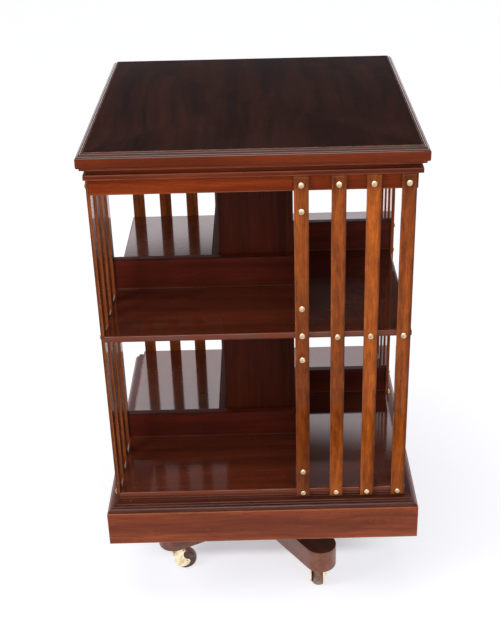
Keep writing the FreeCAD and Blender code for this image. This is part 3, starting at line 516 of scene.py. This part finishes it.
class Joinery:
    """One piece under way: boards with their own grain, wear, grime and tone, where wear and grime also carry
    painted highlights and shades.
    """

    def __init__(self, name, seed):
        self.name = name
        self.mesh = bmesh.new()
        self.chance = random.Random(seed)
        self.grain = self.mesh.verts.layers.float_vector.new("grain")
        self.wear = self.mesh.verts.layers.float.new("wear")
        self.grime = self.mesh.verts.layers.float.new("grime")
        self.tone = self.mesh.verts.layers.float.new("tone")

    def board(self, stations):
        """Skins rings of (position, grain place, wear, grime), equally long, and closes both ends."""
        tone = self.chance.random()
        rings = []
        for station in stations:
            ring = []
            for position, grain, wear, grime in station:
                vert = self.mesh.verts.new(Vector(position) * MM)
                vert[self.grain] = Vector(grain) * MM
                vert[self.wear] = wear
                vert[self.grime] = grime
                vert[self.tone] = tone
                ring.append(vert)
            rings.append(ring)
        count = len(rings[0])
        for low, high in zip(rings, rings[1:]):
            for i in range(count):
                face = self.mesh.faces.new((low[i], low[(i + 1) % count], high[(i + 1) % count], high[i]))
                face.smooth = True
        for ring in (list(reversed(rings[0])), rings[-1]):
            cap = self.mesh.faces.new(ring)
            cap.smooth = False
            for edge in cap.edges:
                edge.smooth = False

    def as_mesh(self):
        bmesh.ops.recalc_face_normals(self.mesh, faces=self.mesh.faces)
        data = bpy.data.meshes.new(self.name)
        self.mesh.to_mesh(data)
        self.mesh.free()
        return data

    def finish(self, material, body, *nodes):
        settle(bpy.data.objects.new(self.name, self.as_mesh()), material, body, *nodes)


def settle(piece, material, body, *nodes):
    """Puts a finished piece in the scene, on its body and in place of its nodes."""
    bpy.context.scene.collection.objects.link(piece)
    piece.data.materials.clear()
    piece.data.materials.append(material)
    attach(piece, body)
    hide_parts(*nodes)


def quarter_turn(point, quarter):
    x, y, z = point
    for _ in range(quarter):
        x, y = -y, x
    return (x, y, z)


def mitred_frame(piece, section, corner_wear, straight=False):
    """Runs a section of (reach, height) triples round a square, mitred at the corners.

    With straight, the grain runs the same way on all four sides.
    """
    outermost = max(point[0] for point, wear, grime in section)
    cuts = ((-1, 0.0, corner_wear), (-1, MITRE_RUB, 0.0), (1, MITRE_RUB, 0.0), (1, 0.0, corner_wear))
    for quarter in QUARTERS:
        stations = []
        for side, inset, worn in cuts:
            ring = []
            for (reach, height), wear, grime in section:
                along = side * max(reach - inset, 0.0)
                position = quarter_turn((along, -reach, height), quarter)
                outer = worn if reach > outermost - MITRE_DEPTH else 0.0
                grain = position if straight else (along, height, reach + 90.0 * quarter)
                ring.append((position, grain, max(wear, outer * (1.0 - grime)), grime))
            stations.append(ring)
        piece.board(stations)


def long_board(piece, section, start, end, place, notch=None):
    """A board of constant section of (a, b) triples; place maps (along, a, b) to a position.

    notch is the height that the board's first end is cut down to, behind the frieze.
    """
    if notch is None:
        steps = [(start, None), (end, None)]
    else:
        shoulder = start + FRIEZE_BOARD
        steps = [(start, notch), (shoulder, notch), (shoulder + NOTCH_STEP, None), (end, None)]
    stations = []
    for along, limit in steps:
        stations.append([(place(along, a, min(b, limit or b)), (along, a, b), wear, grime)
                         for (a, b), wear, grime in section])
    piece.board(stations)


def rectangle(a0, a1, b0, b1):
    return [(a0, b0), (a1, b0), (a1, b1), (a0, b1)]


def extent(node):
    low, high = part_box(node)
    return tuple(v / MM for v in low), tuple(v / MM for v in high)


# =========================================================================================
# Carcass
# =========================================================================================
HALF = extent("bottom_shelf")[1][0]
COLUMN_HALF = extent("column_boards")[1][0]


def make_plinth():
    low, high = extent("plinth_boards")
    section = softened(rectangle(high[0] - PLINTH_BOARD, high[0], low[2], high[2]), arris=1.0)
    piece = Joinery("plinth", seed=11)
    mitred_frame(piece, section, corner_wear=0.35)
    piece.finish(PLINTH_WOOD, "carcass", "plinth_boards")

    low, high = extent("plinth_moulding")
    inner, lip = HALF - MOULDING_REST, HALF + LEDGE_LIP
    ovolo_top, ledge = low[2] + QUIRK + OVOLO[1], high[2] - LEDGE_DROP
    lip_foot = ledge - LIP_HEIGHT
    bend = (lip - HOLLOW_DEPTH, (ovolo_top + lip_foot) / 2)
    points = [(inner, low[2]), (high[0], low[2]), (high[0], low[2] + QUIRK)]
    points += list(reversed(falling_round((lip + QUIRK, ovolo_top), *OVOLO)))[1:]
    points += [(lip + QUIRK, ovolo_top), (lip, ovolo_top)]
    points += arc_points((lip, ovolo_top), bend, (lip, lip_foot), steps=6)
    points += [(lip, ledge), (HALF, ledge), (HALF, high[2]), (inner, high[2])]
    piece = Joinery("plinth_ovolo", seed=12)
    mitred_frame(piece, softened(points, arris=0.45), corner_wear=0.2)
    piece.finish(MOULDING_WOOD, "carcass", "plinth_moulding")


def make_shelves():
    for seed, node in enumerate(("bottom_shelf", "middle_shelf"), 20):
        low, high = extent(node)
        section = softened(rectangle(COLUMN_HALF, high[0], low[2], high[2]), arris=SHELF_EASE)
        section = [(point, max(wear, SHELF_EDGE_WEAR) if point[0] > high[0] - 0.1 else wear, grime)
                   for point, wear, grime in section]
        piece = Joinery(node.replace("_shelf", "_shelf_board"), seed)
        mitred_frame(piece, section, corner_wear=0.0, straight=True)
        piece.finish(SHELF_WOOD, "carcass", node)


def make_column():
    low, high = extent("column_boards")
    outline = rectangle(-COLUMN_HALF, COLUMN_HALF - COLUMN_BOARD, -COLUMN_HALF, COLUMN_BOARD - COLUMN_HALF)
    piece = Joinery("hollow_column", seed=30)
    for quarter in QUARTERS:
        long_board(piece, softened(outline, arris=0.5), low[2], high[2],
                   lambda along, a, b: quarter_turn((a, b, along), quarter))
    piece.finish(COLUMN_WOOD, "carcass", "column_boards")


def make_rails():
    frieze_foot = extent("frieze_boards")[0][2]
    nodes = ("low_rails_lower", "top_rails_lower", "low_rails_upper", "top_rails_upper")
    for seed, node in enumerate(nodes, 40):
        low, high = extent(node)
        section = softened(rectangle(-COLUMN_HALF - RAIL_THICKNESS, -COLUMN_HALF, low[2], high[2]), arris=1.0)
        middle = (low[2] + high[2]) / 2
        # Above the middle the arrises take the dark colour instead of the rubbed one: a painted shade line
        # along the rail's top.
        section = [(point, 0.0, wear) if point[1] > middle else (point, wear, grime)
                   for point, wear, grime in section]
        notch = frieze_foot if node == "top_rails_upper" else None
        piece = Joinery(node.replace("rails", "book_rails"), seed)
        for quarter in QUARTERS:
            long_board(piece, section, -HALF, COLUMN_HALF,
                       lambda along, a, b: quarter_turn((along, a, b), quarter), notch=notch)
        piece.finish(RAIL_WOOD, "carcass", node)


def make_frieze_and_cornice():
    low, high = extent("frieze_boards")
    section = softened(rectangle(high[0] - FRIEZE_BOARD, high[0], low[2], high[2]), arris=0.8)
    piece = Joinery("frieze", seed=50)
    mitred_frame(piece, section, corner_wear=0.3)
    piece.finish(FRONT_WOOD, "carcass", "frieze_boards")

    low, high = extent("cornice")
    fillet, top = high[0], high[2]
    neck, bead = fillet - CAVETTO, HALF + BEAD[0]
    bead_top = low[2] + BEAD[1]
    hollow_foot = top - CORNICE_FILLET - CAVETTO
    bend = (fillet - CAVETTO * EIGHTH, hollow_foot + CAVETTO * EIGHTH)
    points = [(HALF, low[2]), (bead, low[2]), (bead, bead_top), (bead - BEAD_STEP, bead_top),
              (neck, hollow_foot)]
    points += arc_points((neck, hollow_foot), bend, (fillet, top - CORNICE_FILLET), steps=7)
    points += [(fillet, top), (HALF, top)]
    piece = Joinery("cornice_moulding", seed=51)
    mitred_frame(piece, softened(points, arris=0.6), corner_wear=0.3)
    piece.finish(CORNICE_WOOD, "carcass", "cornice")


def make_top():
    low, high = extent("top_board")
    section = [((0.0, low[2]), 0.0, 0.0), ((high[0], low[2]), 0.0, 0.0),
               ((high[0], high[2] - TOP_ARRIS), 0.6, 0.0), ((high[0] - TOP_ARRIS, high[2]), 1.0, 0.0),
               ((high[0] - TOP_RUB, high[2]), 0.0, 0.0), ((0.0, high[2]), 0.0, 0.0)]
    piece = Joinery("table_top", seed=60)
    for quarter in QUARTERS:
        stations = []
        for side in (-1, 1):
            ring = []
            for (reach, height), wear, grime in section:
                position = quarter_turn((side * reach, -reach, height), quarter)
                ring.append((position, (position[1], position[0], position[2]), wear, grime))
            stations.append(ring)
        piece.board(stations)
    piece.finish(TOP_WOOD, "carcass", "top_board")

    inner, top = high[0], high[2]
    low, high = extent("top_edging")
    centre = (high[0] - EDGE_UNDER, low[2] + EDGE_UNDER)
    points = [(inner, low[2]), (centre[0], low[2])]
    bend = (centre[0] + EDGE_UNDER * EIGHTH, centre[1] - EDGE_UNDER * EIGHTH)
    points += arc_points(points[-1], bend, (high[0], centre[1]), steps=5)
    reeds = [(inner, top - EDGE_STEP)]
    for width, fall in EDGE_ROUNDS:
        reeds += falling_round(reeds[-1], width, fall)
        reeds.append((reeds[-1][0], reeds[-1][1] - EDGE_STEP))
    points += list(reversed(reeds[:-1]))
    piece = Joinery("table_top_edging", seed=61)
    mitred_frame(piece, softened(points, arris=0.3), corner_wear=0.3)
    piece.finish(EDGING_WOOD, "carcass", "top_edging")


# =========================================================================================
# Slats and studs
# =========================================================================================
def geometry_tree(name, inputs):
    tree = bpy.data.node_groups.new(name, "GeometryNodeTree")
    tree.interface.new_socket(name="Geometry", in_out="INPUT", socket_type="NodeSocketGeometry")
    for socket_name, kind, default in inputs:
        socket = tree.interface.new_socket(name=socket_name, in_out="INPUT", socket_type=kind)
        if default is not None:
            socket.default_value = default
    tree.interface.new_socket(name="Geometry", in_out="OUTPUT", socket_type="NodeSocketGeometry")
    w = Wiring(tree)
    return tree, w, w.add("NodeGroupInput").outputs, w.add("NodeGroupOutput").inputs


def four_faces(w, geometry):
    """Instances of geometry turned by quarters about the upright axis."""
    corners = w.add("GeometryNodeMeshLine", mode="OFFSET")
    w.feed(corners, Count=4, Offset=(0.0, 0.0, 0.0))
    index = w.add("GeometryNodeInputIndex").outputs[0]
    turn = w.combine(Z=w.math("MULTIPLY", index, math.pi / 2))
    faces = w.add("GeometryNodeInstanceOnPoints")
    w.feed(faces, Points=corners.outputs["Mesh"], Instance=geometry, Rotation=turn)
    return faces.outputs["Instances"]


def vary_islands(w, geometry, name, seed):
    """Gives each separate part its own random value between 0 and 1."""
    island = w.add("GeometryNodeInputMeshIsland").outputs["Island Index"]
    chance = w.add("FunctionNodeRandomValue", data_type="FLOAT")
    w.join(island, chance.inputs["ID"])
    w.join(seed, chance.inputs["Seed"])
    store = w.add("GeometryNodeStoreNamedAttribute", data_type="FLOAT", domain="POINT")
    w.feed(store, Geometry=geometry, Name=name)
    w.join(chance.outputs[1], store.inputs["Value"])
    return store.outputs["Geometry"]


def slat_tree():
    """A row of slats on each face: one on the rail's line, the rest stepping in from the corner."""
    tree, w, given, result = geometry_tree("slats_on_four_faces", [
        ("First Place", "NodeSocketFloat", 0.068), ("Corner Place", "NodeSocketFloat", 0.223),
        ("Pitch", "NodeSocketFloat", 0.05), ("Stepped", "NodeSocketInt", 3), ("Seed", "NodeSocketInt", 0),
        ("Material", "NodeSocketMaterial", None)])
    first = w.add("GeometryNodeMeshLine", mode="OFFSET")
    w.feed(first, Count=1, Start_Location=w.combine(X=given["First Place"]))
    stepped = w.add("GeometryNodeMeshLine", mode="OFFSET")
    w.feed(stepped, Count=given["Stepped"], Start_Location=w.combine(X=given["Corner Place"]),
           Offset=w.combine(X=w.math("MULTIPLY", given["Pitch"], -1.0)))
    both = w.add("GeometryNodeJoinGeometry")
    w.join(first.outputs["Mesh"], both.inputs[0])
    w.join(stepped.outputs["Mesh"], both.inputs[0])
    row = w.add("GeometryNodeInstanceOnPoints")
    w.feed(row, Points=both.outputs[0], Instance=given["Geometry"])
    solid = w.add("GeometryNodeRealizeInstances")
    w.feed(solid, Geometry=four_faces(w, row.outputs["Instances"]))
    varied = vary_islands(w, solid.outputs[0], "tone", given["Seed"])
    paint = w.add("GeometryNodeSetMaterial")
    w.feed(paint, Geometry=varied, Material=given["Material"])
    w.join(paint.outputs[0], result["Geometry"])
    return tree


def stud_tree():
    """A domed nail at every point of the mesh, on each face, no two heads quite alike."""
    tree, w, given, result = geometry_tree("studs_on_four_faces", [
        ("Head Radius", "NodeSocketFloat", 0.005), ("Head Height", "NodeSocketFloat", 0.003),
        ("Shank Radius", "NodeSocketFloat", 0.001), ("Shank Length", "NodeSocketFloat", 0.028),
        ("Tilt", "NodeSocketFloat", 0.05), ("Seed", "NodeSocketInt", 0),
        ("Material", "NodeSocketMaterial", None)])
    ball = w.feed(w.add("GeometryNodeMeshUVSphere"), Segments=20, Rings=12, Radius=1.0)
    size = w.combine(X=given["Head Radius"], Y=given["Head Radius"], Z=given["Head Height"])
    head = w.feed(w.add("GeometryNodeTransform"), Geometry=ball.outputs["Mesh"], Scale=size)
    shank = w.add("GeometryNodeMeshCylinder")
    w.feed(shank, Vertices=8, Radius=given["Shank Radius"], Depth=given["Shank Length"])
    down = w.combine(Z=w.math("MULTIPLY", given["Shank Length"], -0.5))
    shank_down = w.feed(w.add("GeometryNodeTransform"), Geometry=shank.outputs["Mesh"], Translation=down)
    nail = w.add("GeometryNodeJoinGeometry")
    w.join(head.outputs[0], nail.inputs[0])
    w.join(shank_down.outputs[0], nail.inputs[0])
    place = w.separate(w.add("GeometryNodeInputPosition").outputs[0])
    across = w.math("SQRT", w.math("ADD", w.math("MULTIPLY", place["X"], place["X"]),
                                   w.math("MULTIPLY", place["Y"], place["Y"])))
    store = w.add("GeometryNodeStoreNamedAttribute", data_type="FLOAT", domain="POINT")
    w.feed(store, Geometry=nail.outputs[0], Name="dome")
    w.join(w.math("DIVIDE", across, given["Head Radius"]), store.inputs["Value"])
    smooth = w.add("GeometryNodeSetShadeSmooth")
    w.feed(smooth, Geometry=store.outputs[0])
    lean = w.add("FunctionNodeRandomValue", data_type="FLOAT_VECTOR")
    w.join(w.vector("SCALE", (-1.0, -1.0, 0.0), scale=given["Tilt"]), lean.inputs[0])
    w.join(w.vector("SCALE", (1.0, 1.0, 0.0), scale=given["Tilt"]), lean.inputs[1])
    w.join(given["Seed"], lean.inputs["Seed"])
    face_out = w.vector("ADD", lean.outputs[0], (math.pi / 2, 0.0, 0.0))
    row = w.add("GeometryNodeInstanceOnPoints")
    w.feed(row, Points=given["Geometry"], Instance=smooth.outputs[0], Rotation=face_out)
    solid = w.add("GeometryNodeRealizeInstances")
    w.feed(solid, Geometry=four_faces(w, row.outputs["Instances"]))
    paint = w.add("GeometryNodeSetMaterial")
    w.feed(paint, Geometry=solid.outputs[0], Material=given["Material"])
    w.join(paint.outputs[0], result["Geometry"])
    return tree


def grow(name, seed_mesh, tree, values):
    """Runs a Geometry Nodes tree on a mesh and returns a plain object with the result."""
    start = bpy.data.objects.new(name + "_start", seed_mesh)
    bpy.context.scene.collection.objects.link(start)
    modifier = start.modifiers.new("grow", "NODES")
    modifier.node_group = tree
    for item in tree.interface.items_tree:
        if item.item_type == "SOCKET" and item.in_out == "INPUT" and item.name in values:
            modifier[item.identifier] = values[item.name]
    bpy.context.view_layer.update()
    evaluated = start.evaluated_get(bpy.context.evaluated_depsgraph_get())
    data = bpy.data.meshes.new_from_object(evaluated)
    data.name = name
    start.modifiers.clear()
    bpy.data.objects.remove(start)
    return bpy.data.objects.new(name, data)


def slat_section(half, front, rear):
    """A slat's outline: a painted highlight on its left arris, a painted shade on its right margin and its
    back face, its back corners rubbed.
    """
    outline = [(-half, front), (SLAT_LEFT_HIGHLIGHT - half, front), (half - SLAT_RIGHT_SHADE, front), (half, front),
               (half, rear), (half - SLAT_EASE, rear), (SLAT_EASE - half, rear), (-half, rear)]
    eased = softened(outline, arris=SLAT_EASE, sharp=(4, 5, 6, 7))
    section = []
    for i, ((x, y), wear, grime) in enumerate(eased):
        beside = 0.6 * max(eased[i - 1][1], eased[(i + 1) % len(eased)][1])
        # On the face the left arris gets a painted highlight and the right margin a painted shade; the back
        # face gets a painted shade, its corners rubbed.
        if y < rear - SLAT_EASE / 2:
            rub_and_highlight = SLAT_SHINE * wear if x < 0 else 0.0
            soiled = max(wear, beside) if x > 0 else 0.0
        elif abs(x) > half - SLAT_EASE / 2:
            rub_and_highlight, soiled = SLAT_SHINE, 0.0
        else:
            rub_and_highlight, soiled = 0.0, SLAT_BACK_SHADE
        section.append(((x, y), rub_and_highlight, soiled))
    return section


def slat_mesh(node):
    """One slat about x = 0 at the front, arrises eased and ends sloped back."""
    low, high = extent(node)
    front, foot, head = low[1], low[2], high[2]
    section = slat_section((high[0] - low[0]) / 2, front, high[1] + SLAT_BITE)
    depth, run = SLAT_SLOPE
    levels = (      # height, setback of the front, rubbed, darkened; the darkening near the head is a painted shade from the cornice
        (foot, depth, 0.6, 0.0), (foot + run, 0.0, 0.3, 0.3), (foot + run + 2.0, 0.0, 0.0, 0.3),
        (foot + SLAT_HEAD_SHADE / 2, 0.0, 0.0, 0.0), (head - SLAT_HEAD_SHADE, 0.0, 0.0, 0.0),
        (head - SLAT_HEAD_SHADE / 2, 0.0, 0.0, 0.45), (head - run - 2.0, 0.0, 0.0, 0.6),
        (head - run, 0.0, 0.3, 0.5), (head, depth, 0.6, 0.0))
    piece = Joinery("slat", seed=1)
    piece.board([
        [((x, max(y, front + setback), z), (z, x, y), max(wear, rub_and_highlight), max(grime, soiled))
         for (x, y), wear, grime in section]
        for z, setback, rub_and_highlight, soiled in levels])
    return piece.as_mesh()


def make_slats():
    numbers = (1, 2, 3, 4)
    extents = [extent("slat_front_%d" % number) for number in numbers]
    places = [(low[0] + high[0]) / 2 for low, high in extents]
    slats = grow("slats", slat_mesh("slat_front_1"), slat_tree(), {
        "First Place": places[0] * MM, "Corner Place": places[3] * MM, "Pitch": (places[3] - places[2]) * MM,
        "Stepped": 3, "Seed": 211, "Material": SLAT_WOOD})
    sides = ("front", "right", "back", "left")
    nodes = ["slat_%s_%d" % (side, number) for side in sides for number in numbers]
    settle(slats, SLAT_WOOD, "carcass", *nodes)
    make_studs(places, extents[0][0][1])


def make_studs(places, front):
    """A stud where each slat crosses a shelf, and four more where each first slat crosses the rails."""
    low_shelf, middle_shelf, sub_top = [
        (extent(node)[0][2] + extent(node)[1][2]) / 2 for node in ("bottom_shelf", "middle_shelf", "sub_top")]
    rail_levels = [extent("low_rails_lower")[1][2] - RAIL_STUD_INSET,
                   extent("top_rails_lower")[0][2] + RAIL_STUD_INSET,
                   extent("low_rails_upper")[1][2] - RAIL_STUD_INSET,
                   extent("top_rails_upper")[0][2] + RAIL_STUD_INSET]
    first = [low_shelf, middle_shelf + FIRST_STUD_RISE, sub_top] + rail_levels
    stepped = (low_shelf, middle_shelf - STEPPED_STUD_DROP, sub_top)
    spots = [(places[0], front, z) for z in first] + [(x, front, z) for x in places[1:] for z in stepped]
    data = bpy.data.meshes.new("stud_places")
    data.from_pydata([Vector(spot) * MM for spot in spots], [], [])
    studs = grow("brass_studs", data, stud_tree(), {
        "Head Radius": STUD_RADIUS * MM, "Head Height": STUD_HEIGHT * MM,
        "Shank Radius": SHANK_RADIUS * MM, "Shank Length": SHANK_LENGTH * MM,
        "Tilt": 0.05, "Seed": 3, "Material": STUD_BRASS})
    settle(studs, STUD_BRASS, "carcass", "slat_studs")


# =========================================================================================
# The rest keeps the frame's own solids
# =========================================================================================
def dress_solids():
    finishes = {
        "cross_bar_lower": FLOOR_LIT_BASE_WOOD, "cross_bar_upper": CROSS_WOOD, "pillar": PILLAR_WOOD,
        "bearing_block": BLOCK_WOOD, "head_block": BLOCK_WOOD, "sub_top": BLOCK_WOOD,
        "plinth_corner_blocks": BLOCK_WOOD,
        "castor_plates": CASTOR_BRASS, "castor_plate_screws": CASTOR_BRASS,
    }
    axles = {joint["child"]: joint["axis"] for joint in frame["record"]["behaviour"]["joints"]}
    for name, node in frame["nodes"].items():
        if name.startswith(("castor_fork", "castor_axle")):
            finish = CASTOR_BRASS
        elif name.startswith("castor_wheel"):
            body = name.replace("castor_", "")
            finish = worn_and_lit_wheel("worn_" + body, axles[body])
        else:
            finish = finishes.get(name, IRON)
        node.data.materials.clear()
        node.data.materials.append(finish)


dress_solids()
make_plinth()
make_shelves()
make_column()
make_rails()
make_frieze_and_cornice()
make_top()
make_slats()


# =========================================================================================
# Studio
# =========================================================================================
def mix_shaders(w, factor, first, second, surface):
    both = w.add("ShaderNodeMixShader")
    for source, socket in zip((factor, first.outputs[0], second.outputs[0]), both.inputs):
        w.join(source, socket)
    w.join(both.outputs[0], surface)


def studio_paper():
    """Pale paper under the piece: the lens sees it near white, with the shadow kept. Near the piece less of
    its white glow is let through, least under and behind the pillar, a painted shadow; in reflections it
    glows bright near the piece and dim far in front.
    """
    material, w, surface = bare_material("studio_paper")
    paper, glow = w.add("ShaderNodeBsdfPrincipled"), w.add("ShaderNodeEmission")
    w.feed(paper, Base_Color=(0.88, 0.89, 0.93, 1.0), Roughness=0.95, Specular_IOR_Level=0.05)
    rays = w.add("ShaderNodeLightPath").outputs
    place = w.add("ShaderNodeNewGeometry").outputs["Position"]
    across = w.separate(place)["Y"]
    mirrored = w.span(across, -0.8, -0.4, 0.05, 1.1)
    w.feed(glow, Color=(0.96, 0.96, 1.0, 1.0),
           Strength=w.blend(rays["Is Glossy Ray"], (1.5, 1.5, 1.5, 1.0), mirrored))
    away = w.vector("LENGTH", w.vector("MULTIPLY", place, (1.0, 1.0, 0.0)))
    # painted shadow: near the piece, and most under and behind the pillar, the lens gets less of the white
    # glow
    under = w.span(away, 0.12, 0.27, w.span(across, -0.075, -0.045, 0.5, 0.29), 0.5)
    plain = w.math("MULTIPLY", rays["Is Camera Ray"], w.span(away, 0.25, 0.8, under, 0.62))
    mix_shaders(w, w.math("MAXIMUM", plain, rays["Is Glossy Ray"]), paper, glow, surface)
    return material


def reflected_paper(low, high, dim):
    """Paper wall that only polish and brass see.

    Behind the piece it is white up to low and dim above high; in front it is dim, with light above.
    """
    material, w, surface = bare_material("reflected_paper")
    clear, glow = w.add("ShaderNodeBsdfTransparent"), w.add("ShaderNodeEmission")
    place = w.separate(w.add("ShaderNodeTexCoord").outputs["Object"])
    behind = w.span(place["Y"], 0.1, 0.5)
    warmth = w.span(place["Z"], 0.6, 0.95)
    back = w.span(place["Z"], low, high, 1.6, dim)
    front = w.span(place["Z"], 0.95, 1.2, w.span(place["Y"], -0.6, -0.2, 0.8, 0.08), 1.3)
    w.feed(glow, Color=w.blend(warmth, (1.0, 0.80, 0.81, 1.0), (1.0, 0.93, 0.96, 1.0)),
           Strength=w.blend(behind, front, back))
    mix_shaders(w, w.add("ShaderNodeLightPath").outputs["Is Glossy Ray"], clear, glow, surface)
    return material


def make_floor_and_wall():
    bpy.ops.mesh.primitive_plane_add(size=16.0, location=(0.0, 2.0, 0.0))
    floor = bpy.context.object
    floor.name = "studio_floor"
    floor.data.materials.append(studio_paper())

    sides, radius, height = 48, 0.95, 1.6
    turns = [math.tau * i / sides for i in range(sides)]
    rim = [(radius * math.cos(turn), radius * math.sin(turn)) for turn in turns]
    wall = bpy.data.meshes.new("paper_wall")
    wall.from_pydata([(x, y, z) for z in (0.0, height) for x, y in rim], [],
                     [(i, (i + 1) % sides, sides + (i + 1) % sides, sides + i) for i in range(sides)])
    wall.materials.append(reflected_paper(low=0.89, high=1.03, dim=0.02))
    backdrop = bpy.data.objects.new("paper_wall", wall)
    bpy.context.scene.collection.objects.link(backdrop)


def make_air():
    """A soft light from all round, which the lens sees as white."""
    world = bpy.data.worlds.new("studio_air")
    bpy.context.scene.world = world
    world.use_nodes = True
    world.node_tree.nodes.clear()
    w = Wiring(world.node_tree)
    rays = w.add("ShaderNodeLightPath").outputs
    open_air = w.span(rays["Is Glossy Ray"], 0.0, 1.0, 0.27, 0.9, smooth=False)
    around = w.add("ShaderNodeBackground")
    w.feed(around, Color=(1.0, 1.0, 1.0, 1.0), Strength=w.math("MAXIMUM", open_air, rays["Is Camera Ray"]))
    w.join(around.outputs[0], w.add("ShaderNodeOutputWorld").inputs["Surface"])


def soft_box(name, place, aim, size, power):
    light = bpy.data.lights.new(name, "AREA")
    light.shape = "RECTANGLE"
    light.size, light.size_y = size
    light.energy = power
    lamp = bpy.data.objects.new(name, light)
    bpy.context.scene.collection.objects.link(lamp)
    lamp.location = place
    lamp.rotation_mode = "QUATERNION"
    lamp.rotation_quaternion = (Vector(aim) - Vector(place)).to_track_quat("-Z", "Y")


def make_studio():
    bpy.context.scene.view_settings.view_transform = "Standard"
    make_floor_and_wall()
    make_air()
    soft_box("key_soft_box", (-1.45, -1.2, 1.5), (0.0, -0.1, 0.55), (0.7, 0.7), 20.0)
    soft_box("fill_soft_box", (1.1, -2.0, 0.85), (0.0, 0.0, 0.55), (1.2, 0.8), 11.0)
    soft_box("overhead_soft_box", (-0.1, -0.95, 2.15), (0.0, -0.2, 0.6), (1.1, 0.8), 15.0)


def make_camera():
    """Looks down at the front from well above the table top, with a slight tilt to one side."""
    focal, long_side = 1101.437, 619.0
    centre, middle = (269.80, 301.33), (250.0, 309.5)
    yaw, pitch, roll = 0.0045, 0.4775, -0.0220
    stand = (0.01266, -1.71899, 1.39994)
    forward = Vector((math.sin(yaw) * math.cos(pitch), math.cos(yaw) * math.cos(pitch), -math.sin(pitch)))
    level = Vector((math.cos(yaw), -math.sin(yaw), 0.0))
    up = level.cross(forward)
    right = math.cos(roll) * level + math.sin(roll) * up
    up = -math.sin(roll) * level + math.cos(roll) * up
    camera = bpy.data.cameras.new("camera")
    camera.sensor_fit = "AUTO"
    camera.sensor_width = 36.0
    camera.lens = 36.0 * focal / long_side
    camera.shift_x = (middle[0] - centre[0]) / long_side
    camera.shift_y = (centre[1] - middle[1]) / long_side
    camera.clip_start, camera.clip_end = 0.05, 60.0
    viewer = bpy.data.objects.new("camera", camera)
    bpy.context.scene.collection.objects.link(viewer)
    turn = Matrix((right, up, -forward)).transposed()
    viewer.matrix_world = Matrix.Translation(stand) @ turn.to_4x4()
    bpy.context.scene.camera = viewer


make_studio()
make_camera()
